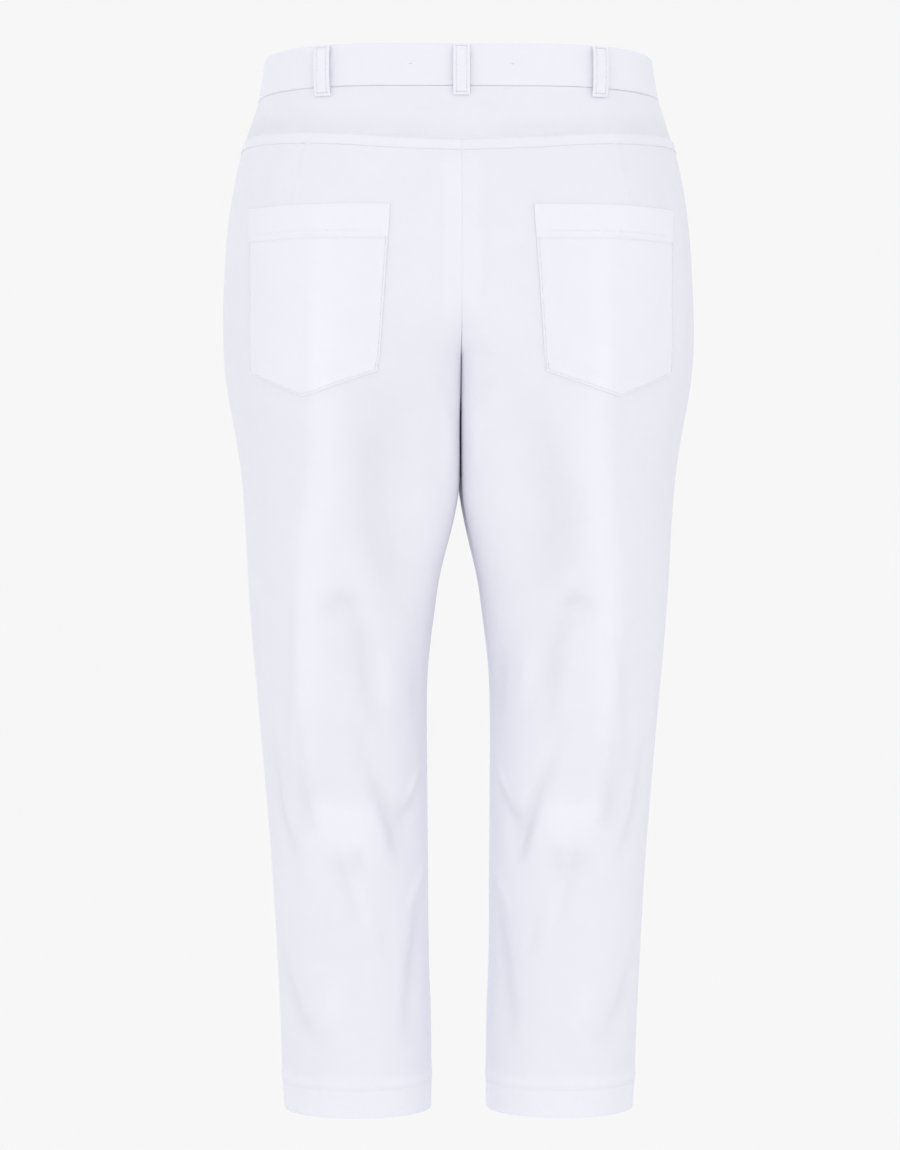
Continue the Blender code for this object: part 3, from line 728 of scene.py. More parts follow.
def mesh_piece(name, points, faces, finish, smooth_angle=60, marks=None):
    """A mesh from points in millimetres, with named marks stored on its points."""
    mesh = bpy.data.meshes.new(name)
    mesh.from_pydata(np.asarray(points) * MM, [], faces if isinstance(faces, list) else faces.tolist())
    mesh.shade_smooth()
    mesh.set_sharp_from_angle(angle=np.radians(smooth_angle))
    for mark, values in (marks or {}).items():
        values = np.asarray(values, np.float32)
        kind, field = ("FLOAT_VECTOR", "vector") if values.ndim == 2 else ("FLOAT", "value")
        mesh.attributes.new(mark, kind, "POINT").data.foreach_set(field, values.ravel())
    mesh.materials.append(finish)
    made = bpy.data.objects.new(name, mesh)
    bpy.context.scene.collection.objects.link(made)
    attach(made, "root")
    return made


def grid_faces(rows, columns, closed=False, first=0):
    """Four-sided faces over rows and columns of points, joined round if closed."""
    i = np.arange(rows - 1)[:, None]
    j = np.arange(columns if closed else columns - 1)[None, :]
    k = (j + 1) % columns
    corners = (i * columns + j, i * columns + k, (i + 1) * columns + k, (i + 1) * columns + j)
    return np.stack(corners, axis=-1).reshape(-1, 4) + first


def shell(name, outer, inner, finish, closed=False, slot_name="cloth", **marks):
    """A thin piece of cloth between an outer and an inner face, both given as rows and columns of points."""
    rows, columns = outer.shape[:2]
    total = rows * columns
    front = grid_faces(rows, columns, closed)
    back = front[:, ::-1] + total
    index = np.arange(total).reshape(rows, columns)
    if closed:
        edges = [np.append(index[0], index[0, 0])[::-1], np.append(index[-1], index[-1, 0])]
    else:
        edges = [np.concatenate([index[-1], index[-2::-1, -1], index[0, -2::-1], index[1:, 0]])]
    rims = [np.column_stack([e[:-1], e[1:], e[1:] + total, e[:-1] + total])[:, ::-1] for e in edges]
    faces = np.concatenate([front, back, *rims])
    i, j = rows // 2, columns // 2
    away = outer[i, j] - inner[i, j]
    turned = np.dot(np.cross(outer[i, j + 1] - outer[i, j], outer[i + 1, j] - outer[i, j]), away)
    if turned < 0:
        faces = faces[:, ::-1]
    values = {}
    for mark, value in marks.items():
        value = np.broadcast_to(value, outer.shape[:2] if mark != "weave" else outer.shape)
        inside = value if mark in ("weave", "plies") else np.zeros(value.shape)
        flat = (total, 3) if mark == "weave" else (total,)
        values[mark] = np.concatenate([value.reshape(flat), inside.reshape(flat)])
    points = np.concatenate([outer.reshape(-1, 3), inner.reshape(-1, 3)])
    return mesh_piece(name, points, faces, finish, marks=values)


def weave_places(s, z, side=1):
    """Where each point lies in the cloth, in millimetres along its two yarns."""
    return np.stack(np.broadcast_arrays(s * side, z, 0.0), axis=-1)


# How far the rows of points are from a seam at a panel's side, from its top seam and from its hem.
# They lie closer at each line of sewing.
SEAM_EDGE = (SEAM_GAP / 2, 0.45, 0.9, 1.5, 2.4, 3.8)
TOP_STEPS = (SEAM_GAP / 2, 0.5, 1.0, 1.7, 2.6, 4, 5.5, 7, 7.9, 8.5, 9, 9.5, 10.2, 11.2, 13)
HEM_STEPS = (0.12, 0.4, 0.9, 1.6, 2.6, 4.5, 8, 12, 16, 18.5, 20, 21, 21.5, 22, 22.5, 23, 24.5, 27)


def panel_net(part):
    """Points of a panel: distances from top and hem, row, distance from the outseam, row lengths."""
    fine = np.linspace(YOKE_ROW if part == BACK else WAIST_ROW, LAST_ROW, 200)
    down = gone_along(skin(part, 0.5, fine))
    from_top = steps(down[-1], 3.0, TOP_STEPS, HEM_STEPS)
    row = np.interp(from_top, down, fine)[:, None]
    lengths = girth_at(part, row)
    widest = lengths.max()
    share = steps(widest, 2.9, SEAM_EDGE, SEAM_EDGE)
    s = np.tile(share, (len(from_top), 1))
    count, edge = len(SEAM_EDGE), SEAM_EDGE[-1]
    middle = slice(count - 1, 1 - count)
    s[:, middle] = edge + (share[middle] - edge) / (widest - 2 * edge) * (lengths - 2 * edge)
    s[:, 1 - count :] = lengths - (widest - share[1 - count :])
    return from_top[:, None], down[-1] - from_top[:, None], row, s, lengths


def back_relief(from_top, s, reach, height):
    """What the doubled strip, the centre seam and the dart raise and sink, and where the back lies double."""
    strip = 1 - smooth(YOKE_ALLOWANCE - 1.2, YOKE_ALLOWANCE + 1.6, from_top)
    centre = 1 - smooth(CENTRE_ALLOWANCE - 2.5, CENTRE_ALLOWANCE + 2.5, reach)
    centre = centre * smooth(8, 26, from_top) * smooth(-212, -170, height)
    line = np.array([laid(BACK, x, z) for x, z in DART])
    dart = along_line(line, np.zeros(len(line)), s.ravel(), height.ravel())[0].reshape(s.shape)
    shown = smooth(-118, -112, height)
    raised = 0.3 * strip * smooth(0, 14, s) + 0.35 * centre + 0.45 * bump(dart - 1.2, 1.5) * shown
    sunk = rounded(from_top, 0.9) * 0.4 + 0.06 * bump(from_top - YOKE_ALLOWANCE + 0.6, 0.7)
    return raised, sunk + 0.4 * bump(dart + 0.9, 1.0) * shown, np.maximum(0.4 * strip, 0.7 * centre)


def front_relief(side, from_top, reach, height):
    """The same for a front: its top edge and, on the wearer's right, the fly's facing."""
    raised, plies = np.zeros(reach.shape), np.zeros(reach.shape)
    if side == RIGHT:
        below = np.clip(ZIP_TOP - FLY_LENGTH + FLY_WIDTH - height, 0, None)
        away = np.hypot(reach, below) - FLY_WIDTH
        raised = 0.5 * (1 - smooth(-0.6, 0.8, away)) - 0.3 * bump(away + 0.8, 0.8)
        plies = 0.7 * (1 - smooth(-0.5, 0.5, away))
    return raised, rounded(from_top, 1.1) * 0.9, plies


def panel(part, side, name, finish, wall):
    """A front or a back, from the seam at its top to the hem."""
    from_top, up, row, s, lengths = panel_net(part)
    surface, normals, hollow = worn(part, side, s / lengths, row)
    height = surface[..., 2]
    reach = lengths - s
    # closed is 1 down the centre seam, where the two sides are sewn together, and 0 below the crotch.
    if part == BACK:
        closed = smooth(-250, -205, height)
        raised, sunk, plies = back_relief(from_top, s, reach, height)
    else:
        closed = smooth(-225, -190, height)
        raised, sunk, plies = front_relief(side, from_top, reach, height)
    turned = 1 - smooth(HEM_STITCH_UP - 1.0, HEM_STITCH_UP + 1.5, up)
    above_hem = up - HEM_STITCH_UP - 6
    # The hem's turned cloth lies double, and the lighter band on the ridge above its stitching is a painted
    # highlight.
    plies = np.maximum(np.maximum(plies, 0.7 * turned), 0.8 * bump(above_hem, 4))
    raised = raised + HEM_RIDGE * bump(above_hem, 5)
    fall = rounded(s, EDGE_ROUND) * EDGE_FALL
    fall = fall + rounded(reach, EDGE_ROUND) * (EDGE_FALL - 0.55 * closed) + rounded(up, 0.8) * EDGE_FALL
    fall = fall + sunk + 0.10 * bump(up - HEM_STITCH_UP, 0.9)
    outer = surface + normals * (raised - fall)[..., None]
    inner = surface - normals * wall
    meet = SEAM_MEET * side * closed * bump(reach, 1.4)
    outer[..., 0] -= meet
    inner[..., 0] -= meet
    # Painted light on the inner side of each leg below the crotch, where the legs shade each other; the
    # painted shade is lessened there too.
    painted_inner_leg_light = bump(reach, 20) * smooth(-235, -300, height)
    # Painted shade in the grooves of the outseam and the centre seam.
    seams = 0.9 * bump(s, 0.6) + 0.5 * closed * bump(reach, 0.6)
    hollow = np.clip(hollow * (1 - 0.6 * painted_inner_leg_light) + seams, LIGHTEST, 1.3)
    flat = weave_places(s, height, side)
    return shell(name, outer, inner, finish, weave=flat, plies=plies + 1.2 * painted_inner_leg_light, hollow=hollow)


def yoke_piece(finish, wall):
    """One piece across the back, pointed at the middle of its lower edge."""
    down = steps(YOKE_DEPTH, 2.4, (SEAM_GAP / 2, 0.5, 1, 1.7, 2.8), (0.12, 0.4, 0.8, 1.3, 2.0, 3.2))
    row = (WAIST_ROW + down / YOKE_DEPTH * (YOKE_ROW - WAIST_ROW))[:, None]
    lengths = girth_at(BACK, row)
    across = steps(1.0, 0.0115, tuple(np.array(SEAM_EDGE) / 300))
    s = across * lengths
    down, up = down[:, None], YOKE_DEPTH - down[:, None]
    halves = []
    for side in (RIGHT, LEFT):
        surface, normals, hollow = worn(BACK, side, across, row)
        fall = rounded(s, EDGE_ROUND) * EDGE_FALL + rounded(down, 1.2) * 0.9 + rounded(up, 1.2) * 0.6
        # Painted shade along the outseam and along the lower edge, in the yoke seam.
        shade = np.clip(hollow + 0.9 * bump(s, 0.6) + 0.3 * bump(up, 2.0), LIGHTEST, 1.3)
        outer = surface - normals * fall[..., None]
        flat = weave_places(s - lengths, outer[..., 2], side)
        halves.append((outer, surface - normals * wall, shade, flat))
    for right, left in list(zip(*halves))[:2]:
        right[:, -1] = (right[:, -1] + left[:, -1]) / 2
    outer, inner, shade, flat = (np.concatenate([r, l[:, -2::-1]], axis=1) for r, l in zip(*halves))
    return shell("yoke_panel", outer, inner, finish, weave=flat, plies=0.0, hollow=shade)


def band_piece(finish):
    """The waistband, on from one overlapping end, round the body and under itself to the other."""
    front = float(girth_at(FRONT, 0.5))
    back = float(girth_at(BACK, 0.5))
    over_end = 1 - OVERLAP / front
    step_end = over_end - SEAM_GAP / front
    step_start = step_end - BAND_STEP / front
    under_end = 1 - UNDERLAP / front
    drop = BAND_CLOTH + SEAM_GAP

    def run(start, end, length, first=(), last=()):
        reach = abs(end - start) * length
        return start + (end - start) * steps(reach, 2.6, first, last) / reach

    stretches = [
        (FRONT, LEFT, run(over_end, 1, front, EDGE_STEPS)[:-1], 0, 0),
        (FRONT, RIGHT, run(1, 0, front)[:-1], 0, 0),
        (BACK, RIGHT, run(0, 1, back)[:-1], 0, 0),
        (BACK, LEFT, run(1, 0, back)[:-1], 0, 0),
        (FRONT, LEFT, run(0, step_start, front)[:-1], 0, 0),
        (FRONT, LEFT, np.linspace(step_start, step_end, 6)[:-1], 0, 1),
        (FRONT, LEFT, run(step_end, 1, front)[:-1], 1, 1),
        (FRONT, RIGHT, run(1, under_end, front, (), EDGE_STEPS), 1, 1),
    ]
    edge = (SEAM_GAP / 2, 0.4, 0.8, 1.3, 2.0, 3.2)
    down = steps(BAND_HEIGHT, 2.2, (*EDGE_STEPS, 3.0), edge)
    row = (down / BAND_HEIGHT)[:, None]
    placed = []
    for part, side, across, low, high in stretches:
        sunk = np.linspace(low, high, len(across))
        placed.append(place(part, side, across, row, BAND_PROUD - drop * smooth(0, 1, sunk)))
    points, normals = (np.concatenate(each, axis=1) for each in zip(*placed))
    along = gone_along(points[len(down) // 2])
    ease = 0.22 * np.sin(along / 23) * np.sin(along / 61 + 1)
    ease = ease + 0.12 * np.sin(along / 9.5 + 2 * np.sin(along / 40))
    ease = ease * np.sin(np.pi * down / BAND_HEIGHT)[:, None]
    ease = ease * smooth(0, 30, along) * smooth(0, 30, along[-1] - along)
    fall = rounded(edge_distance(down), 1.15)[:, None] + rounded(edge_distance(along), 1.1)
    outer = points + normals * (ease - fall)[..., None]
    inner = points - normals * (BAND_CLOTH - fall - ease)[..., None]
    flat = weave_places(along, -down[:, None])
    # Painted shadow along the band's lower edge, in its seam.
    shade = 0.5 * bump(down[:, None] - BAND_HEIGHT, 0.8) + 0 * along
    return shell("waistband_strip", outer, inner, finish, weave=flat, plies=0.75, hollow=shade)


def hem_piece(side, hand, finish):
    """The turned-up cloth inside a leg's lower edge."""
    edge = (0.0, 0.3, 0.8, 1.6)
    up = steps(HEM_TURN, 2.6, edge, edge)
    row = (LAST_ROW - up / HEM_TURN * (LAST_ROW - HEM_ROW))[::-1][:, None]
    edge = tuple(np.array(SEAM_EDGE) / 200)
    at = steps(1.0, 0.0145, edge, edge)
    placed = []
    for part, across in ((BACK, at[:-1]), (FRONT, at[:0:-1])):
        here, facing, _ = worn(part, side, across, row, -PANEL_WALL - SEAM_GAP)
        placed.append((here, facing, np.broadcast_to(across * 200.0 * part, here.shape[:2])))
    points, normals, lines = (np.concatenate(each, axis=1) for each in zip(*placed))
    fall = rounded(edge_distance(up), 0.5)[::-1][:, None, None]
    outer = points - normals * fall
    inner = points - normals * (HEM_CLOTH - fall)
    flat = weave_places(lines, points[..., 2], side)
    return shell(f"hem_turn_{hand}", outer, inner, finish, True, weave=flat, plies=0.9, hollow=0.0)


def pocket_depth(share):
    """The length of the pocket from its top to its pointed foot."""
    tip = POCKET_TIP_SHARE
    to_tip = np.where(share < tip, share / tip, (1 - share) / (1 - tip))
    return POCKET_TOP - POCKET_CORNER + (POCKET_CORNER - POCKET_TIP) * to_tip


def pocket_places():
    """Places of the pocket: across and row for shares of its width and of its depth, on a coarse net."""
    shares, depths = np.linspace(0, 1, 15), np.linspace(0, 1, 12)
    shares = np.sort(np.append(shares[np.abs(shares - POCKET_TIP_SHARE) > 0.04], POCKET_TIP_SHARE))
    heights = POCKET_TOP - pocket_depth(shares) * depths[:, None]
    down = (POCKET_TOP - heights) / (POCKET_TOP - POCKET_CORNER)
    inner_x = POCKET_INNER_X_TOP + (POCKET_INNER_X_CORNER - POCKET_INNER_X_TOP) * down
    width = POCKET_WIDTH_TOP + (POCKET_WIDTH_CORNER - POCKET_WIDTH_TOP) * down
    across, row = np.zeros(heights.shape), np.zeros(heights.shape)
    fine = np.linspace(1, 0, 300)
    for i in range(len(depths)):
        for j in range(len(shares)):
            level = row_at_height(BACK, fine, heights[i, j])
            line = skin(BACK, fine, level)
            along = gone_along(line)
            at = np.interp(inner_x[i, j], line[:, 0], along) + width[i, j] * shares[j]
            across[i, j] = np.interp(at, along, fine)
            row[i, j] = np.interp(at, along, level)
    return shares, depths, across, row


POCKET = pocket_places()


def pocket_spot(share, depth):
    """Across and row for places on the pocket, share from its inner edge and depth from its top."""
    shares, depths, across, row = POCKET
    share, depth = np.broadcast_arrays(np.asarray(share, float), np.asarray(depth, float))
    j = np.clip(np.searchsorted(shares, share) - 1, 0, len(shares) - 2)
    i = np.clip(np.searchsorted(depths, depth) - 1, 0, len(depths) - 2)
    u = (share - shares[j]) / (shares[j + 1] - shares[j])
    v = (depth - depths[i]) / (depths[i + 1] - depths[i])
    return [between(net, i, j, v, u) for net in (across, row)]


def pocket_surface(side, share, depth, lift=0.0):
    """Worn points of the pocket's face, their normals and their painted shade."""
    across, row = pocket_spot(share, depth)
    return worn(BACK, side, across, row, POCKET_LIFT + lift)


def pocket_piece(side, hand, finish):
    """A patch with a pointed foot and a turned and stitched top."""
    width, length = POCKET_NET
    edge = (0.0, 0.2, 0.5, 0.9, 1.4, 2.2, 3.4)
    across = steps(width, 2.4, edge, edge)
    share = across / width
    extra = np.array([-0.9, -0.3, 0, 0.3, 0.9]) / width + POCKET_TIP_SHARE
    share = np.sort(np.concatenate([share[np.abs(share - POCKET_TIP_SHARE) > 1.4 / width], extra]))
    down = steps(length, 2.4, edge, edge)
    fold = np.array([-1.6, -0.9, -0.3, 0.3, 0.9, 1.6]) + POCKET_HEM_FOLD
    stitch = np.array([-0.6, 0, 0.6]) + POCKET_HEM_STITCH
    down = np.sort(np.concatenate([down[(down < 20) | (down > 29.5)], fold, stitch]))
    depth = (down / length)[:, None]
    real = depth * pocket_depth(share)
    surface, normals, hollow = pocket_surface(side, share, depth)
    from_side = np.minimum(share, 1 - share) * width
    from_foot = pocket_depth(share) - real
    inner_side = smooth(0.4, 0.6, 1 - share)
    near = np.minimum(np.minimum(from_side, from_foot), real)
    fall = rounded(near, 0.9) * 0.95 + 0.14 * bump(np.minimum(from_side, from_foot) - POCKET_STITCH_IN, 0.6)
    fall = fall + 0.6 * bump(real - POCKET_HEM_FOLD, 0.75) + 0.08 * bump(real - POCKET_HEM_STITCH, 0.7)
    turned = 1 - smooth(POCKET_HEM_FOLD - 0.5, POCKET_HEM_FOLD + 0.7, real)
    edges = 1 - smooth(7, 8.5, np.minimum(from_side, from_foot))
    raised = 0.35 * turned + 0.22 * edges
    at_side = pucker(real, np.abs(from_side - POCKET_STITCH_IN), POCKET_PUCKER, 5, 9)
    raised = raised + at_side * smooth(0, 1.4, from_side)
    at_hem = pucker(share * width, np.abs(real - POCKET_HEM_STITCH), POCKET_PUCKER, 5, 10)
    raised = raised + at_hem * smooth(0, 2, from_side)
    # Painted shade from the folds, a painted shadow in a thin line round the edges, strongest along the inner
    # side, and a painted shadow under the fold of the turned top.
    shade = hollow * 0.8 + 1.2 * bump(near, 0.35) * np.maximum(inner_side, smooth(20, 40, real) * 0.6)
    shade = shade + 1.0 * bump(real - POCKET_HEM_FOLD - 0.3, 0.7)
    outer = surface + normals * (raised - fall)[..., None]
    inner = surface - normals * POCKET_CLOTH
    plies = np.clip(0.85 + 0.2 * turned + 0.1 * edges, 0, 1.2)
    flat = weave_places(share * width, -real + np.zeros(share.shape), -side)
    shade = np.clip(shade, LIGHTEST, 1.4)
    return shell(f"pocket_patch_{hand}", outer, inner, finish, weave=flat, plies=plies, hollow=shade)


def mirrored(part, side, across, row, lift):
    """As place, but it carries on past the centre line onto the other leg."""
    across, row, lift = np.broadcast_arrays(across, row, lift)
    here, facing = place(part, side, np.where(across > 1, 2 - across, across), row, lift)
    flip = np.where(across > 1, -1.0, 1.0)
    here, facing = here.copy(), facing.copy()
    here[..., 0] *= flip
    facing[..., 0] *= flip
    return here, facing


LOOPS = (
    ("back_centre", BACK, LEFT, 0),
    ("back_left", BACK, LEFT, BACK_LOOP_X),
    ("back_right", BACK, RIGHT, BACK_LOOP_X),
    ("front_left", FRONT, LEFT, FRONT_LOOP_X),
    ("front_right", FRONT, RIGHT, FRONT_LOOP_X),
)


def loop_surface(part, side, x, offset, down, lift=0.0):
    """Points of a belt loop, offset to either side of its middle, down 0 to 1 from its top to its foot."""
    middle = across_at_x(part, x, 0.5) if x else 1.0
    top = float(skin(part, middle, LOOP_TOP_ROW)[2])
    bottom = float(skin(part, middle, WAIST_ROW)[2]) - LOOP_BELOW_SEAM
    heights = top + (bottom - top) * np.atleast_1d(down)
    row = row_at_height(part, middle, heights)[:, None]
    stand = np.sin(np.pi / 2 * np.clip(np.minimum(down, 1 - down) / 0.2, 0, 1))[:, None]
    on_band = smooth(0, 1, (WAIST_ROW - row) * 20) * BAND_PROUD
    if x:
        middle = np.array([across_at_x(part, x, float(r)) for r in row[:, 0]])[:, None]
    across = middle + np.atleast_1d(offset)[None, :] / girth_at(part, row)
    return mirrored(part, side, across, row, on_band + LAY_GAP + LOOP_CLOTH + LOOP_STANDOFF * stand + lift)


def loop_piece(label, part, side, x, finish):
    """A folded strip with two rows of stitches, standing off the band."""
    edge = (0.0, 0.2, 0.5, 0.9, 1.4)
    offset = steps(LOOP_WIDTH, 0.9, edge, edge) - LOOP_WIDTH / 2
    down = steps(LOOP_LENGTH, 0.9, edge, edge)
    here, facing = loop_surface(part, side, x, offset, down / LOOP_LENGTH)
    near = np.minimum(edge_distance(down)[:, None], (LOOP_WIDTH / 2 - np.abs(offset))[None, :])
    from_stitches = np.abs(offset) - LOOP_STITCH_OUT
    fall = rounded(near, 0.75) + 0.12 * bump(from_stitches, 0.6) + 0.15 * bump(offset, 1.2)
    rise = pucker(down[:, None], np.abs(from_stitches), 0.08, 3, 5)
    outer = here + facing * (rise - fall)[..., None]
    inner = here - facing * (LOOP_CLOTH - rounded(near, 0.6))[..., None]
    flat = weave_places(offset, -down[:, None])
    return shell(f"belt_loop_strip_{label}", outer, inner, finish, weave=flat, plies=1.0, hollow=0.0)


def zip_piece(finish):
    """The zip's woven tape, behind the centre front."""
    first, last = row_at_height(FRONT, 1, np.array([ZIP_TOP, ZIP_TOP - ZIP_LENGTH]))
    row = np.linspace(first, last, 64)[:, None]
    half = ZIP_WIDTH / 2
    edge = (0.0, 0.2, 0.5, 0.9)
    offset = steps(ZIP_WIDTH, 0.9, edge, edge) - half
    across = 1 + offset / float(girth_at(FRONT, 2))
    here, facing = mirrored(FRONT, RIGHT, across, row, -(PANEL_WALL + LAY_GAP))
    sunk, thick = 0.25, 0.7
    cord = 0.35 * bump(np.abs(offset) - 1.6, 0.8)
    fall = rounded(half - np.abs(offset), 0.3) + sunk
    outer = here + facing * (cord - fall)[..., None]
    inner = here - facing * (thick + cord + sunk)[..., None]
    down = np.linspace(0, ZIP_LENGTH, 64)
    flat = weave_places(offset, -down[:, None])
    return shell("zip_tape_woven", outer, inner, finish, slot_name="zip_tape", weave=flat)


def blocks(centres, right, up, out, size):
    """Small blocks with their corners drawn in, as points and faces, one for each centre."""
    half = np.array(size) / 2
    corners = []
    for o, inset in ((-1, 0.0), (0.35, 0.0), (1, 0.35)):
        for r, u in ((-1, -1), (1, -1), (1, 1), (-1, 1)):
            corners.append((r * (half[0] - inset * half[1]), u * half[1] * (1 - inset), o * half[2]))
    corners = np.array(corners)
    frames = np.stack([right, up, out], axis=1)
    points = centres[:, None, :] + np.einsum("kc,ncd->nkd", corners, frames)
    faces = [(3, 2, 1, 0), (8, 9, 10, 11)]
    for low in (0, 4):
        faces += [(low + k, low + (k + 1) % 4, low + 4 + (k + 1) % 4, low + 4 + k) for k in range(4)]
    faces = np.array(faces)[None] + 12 * np.arange(len(centres))[:, None, None]
    return points.reshape(-1, 3), faces.reshape(-1, 4)


def zip_teeth(finish):
    """Two rows of teeth, meshed, on the tape's inner face from the slider down."""
    start = ZIP_TOP - SLIDER_BELOW_TOP - SLIDER_LENGTH - 1
    heights = np.arange(start, ZIP_TOP - ZIP_LENGTH + 5, -TOOTH_PITCH)
    row = row_at_height(FRONT, 1, heights)
    here, facing = place(FRONT, 1, np.ones(len(row)), row, -(PANEL_WALL + LAY_GAP + 1.7))
    here[:, 0] = np.where(np.arange(len(row)) % 2, TOOTH_OUT, -TOOTH_OUT)
    out = unit(-facing * (0, 1, 1))
    right = np.tile((1.0, 0.0, 0.0), (len(row), 1))
    up = np.cross(out, right)
    points, faces = blocks(here, right, up, out, TOOTH_SIZE)
    return mesh_piece("zip_teeth", points, faces, finish, 30)


def slider_piece(finish):
    """The zip's slider: two plates, the bridge between them and a pull hanging from it."""
    height = ZIP_TOP - SLIDER_BELOW_TOP - SLIDER_LENGTH / 2
    row = row_at_height(FRONT, 1, np.array([height]))
    behind = -(PANEL_WALL + LAY_GAP) - ZIP_THICK - SEAM_GAP
    here, facing = place(FRONT, 1, np.ones(1), row, behind - SLIDER_THICK / 2)
    centre = here[0] * (0, 1, 1)
    out = unit(-facing[0] * (0, 1, 1))
    right = np.array((1.0, 0.0, 0.0))
    up = np.cross(out, right)
    count = 40
    turn = 2 * np.pi * np.arange(count) / count
    half = SLIDER_WIDTH / 2 * (0.72 + 0.28 * np.sin(turn))
    outline_x = np.sign(np.cos(turn)) * half * np.abs(np.cos(turn)) ** 0.6
    outline_y = SLIDER_LENGTH / 2 * np.sin(turn)
    points = []
    levels = [(-1.1, 0.90), (-0.9, 1.0), (-0.2, 1.0), (0.0, 0.94)]
    levels += [(0.35, 0.94), (0.55, 1.0), (0.9, 1.0), (1.1, 0.88)]
    for level, scale in levels:
        flat = right * (outline_x * scale)[:, None] + up * (outline_y * scale)[:, None]
        points.append(centre + flat + out * level)
    faces = grid_faces(len(levels), count, True).tolist()
    faces += [list(range(count))[::-1], list(range(count * (len(levels) - 1), count * len(levels)))]
    body = mesh_piece("zip_slider_body", np.concatenate(points), faces, finish, 40)
    pull_tab(centre, right, up, out, finish)
    return body


def pull_tab(centre, right, up, out, finish):
    """A flat tab with rounded ends and a hole, hanging flat from the slider's bridge."""
    turns = 32
    outline, hole = [], []
    for k in range(turns):
        turn = 2 * np.pi * k / turns
        x, y = np.cos(turn), np.sin(turn)
        outline.append((TAB_HALF * x, TAB_HALF * y + (TAB_STRAIGHT if y > 0 else -TAB_STRAIGHT)))
        hole.append((TAB_HOLE * x, TAB_HOLE * y + TAB_HOLE_ENDS[0 if y > 0 else 1]))
    points, faces = [], []
    low = centre - up * 4.0
    for ring_points in (outline, hole):
        for level in (1.45, 2.2):
            for x, y in ring_points:
                points.append(low + right * x + up * y + out * level)
    for k in range(turns):
        m = (k + 1) % turns
        a, b, c, d = k, turns + k, 2 * turns + k, 3 * turns + k
        e, f, g, h = m, turns + m, 2 * turns + m, 3 * turns + m
        faces += [(a, e, f, b), (g, c, d, h), (b, f, h, d), (e, a, c, g)]
    return mesh_piece("zip_pull_tab", points, faces, finish, 40)


def stitch_mesh(name, starts, ends, normals, finish, radius=0.25, arch=0.2, slot_name="cloth"):
    """Stitches from starts to ends, each a short rounded thread that dips into the cloth at both ends."""
    starts, ends, normals = (np.asarray(v, float) for v in (starts, ends, normals))
    along = ends - starts
    length = np.linalg.norm(along, axis=1, keepdims=True)
    along = along / np.maximum(length, 1e-6)
    across = unit(np.cross(along, normals))
    up = np.cross(across, along)
    shares = np.array([0.0, 0.12, 0.35, 0.65, 0.88, 1.0])
    thick = np.array([0.35, 0.85, 1.0, 1.0, 0.85, 0.35]) * radius
    lifted = np.array([-0.9, 0.1, 1.0, 1.0, 0.1, -0.9]) * arch
    around = 6
    turn = 2 * np.pi * np.arange(around) / around
    rings = []
    for share, size, lift in zip(shares, thick, lifted):
        middle = starts + along * length * share + up * lift
        rings.append(
            middle[:, None, :]
            + across[:, None, :] * (np.cos(turn) * size)[None, :, None]
            + up[:, None, :] * (np.sin(turn) * size)[None, :, None]
        )
    points = np.stack(rings, axis=1)
    count = len(starts)
    k, j = np.arange(len(shares) - 1)[:, None], np.arange(around)[None, :]
    m = (j + 1) % around
    sides = np.stack([k * around + j, (k + 1) * around + j, (k + 1) * around + m, k * around + m], axis=-1)
    sides = sides.reshape(-1, 4)
    caps = []
    last = (len(shares) - 1) * around
    for a, b, c, d in ((0, 1, 2, 3), (0, 3, 4, 5)):
        caps += [(a, b, c, d), (last + d, last + c, last + b, last + a)]
    one = np.concatenate([sides, np.array(caps)])
    faces = (one[None] + len(shares) * around * np.arange(count)[:, None, None]).reshape(-1, 4)
    twist = np.broadcast_to((shares * 3.0)[None, :, None], (count, len(shares), around))
    spin = np.broadcast_to((turn / 6.28)[None, None, :], twist.shape)
    flat = np.stack([spin, twist, np.zeros(twist.shape)], axis=-1).reshape(-1, 3)
    return mesh_piece(name, points.reshape(-1, 3), faces, finish, 80, marks={"weave": flat})


def run_of_stitches(points, normals, pitch=3.0, share=0.74):
    """Starts, ends and normals of evenly spaced stitches along a line of points."""
    gone = gone_along(points)
    count = max(1, int(gone[-1] / pitch))
    at = (np.arange(count) + 0.5) * gone[-1] / count
    half = gone[-1] / count * share / 2

    def read(values, where):
        return np.column_stack([np.interp(where, gone, values[:, k]) for k in range(3)])

    return read(points, at - half), read(points, at + half), read(normals, at)


def join_runs(runs):
    """Several runs of stitches as one."""
    return [np.concatenate(parts) for parts in zip(*runs)]


def yoke_line(side):
    """Along the strip under the yoke seam, from outseam to centre back."""
    across = np.linspace(0.012, 0.997, 160)
    height = yoke_seam_height(across) - YOKE_ALLOWANCE + 0.6
    return worn(BACK, side, across, row_at_height(BACK, across, height), 0.12)[:2]


def hem_line(part, side):
    """Round one half of a leg, above its turned hem."""
    across = np.linspace(0.01, 0.99, 120)
    foot = skin(part, across, LAST_ROW)[..., 2]
    row = row_at_height(part, across, foot + HEM_STITCH_UP)
    return worn(part, side, across, row, -0.28)[:2]


def fly_line():
    """Down the right front beside the fly and round to the centre seam at its foot."""
    bend = ZIP_TOP - FLY_LENGTH + FLY_WIDTH
    inset = FLY_WIDTH - 0.8
    turn = np.linspace(0, np.radians(80), 24)[1:]
    reach = np.concatenate([np.full(40, inset), inset * np.cos(turn)])
    height = np.concatenate([np.linspace(ZIP_TOP - 2, bend, 40), bend - inset * np.sin(turn)])
    row = row_at_height(FRONT, 1 - reach / float(girth_at(FRONT, 2)), height)
    return worn(FRONT, RIGHT, 1 - reach / girth_at(FRONT, row), row, 0.12)[:2]


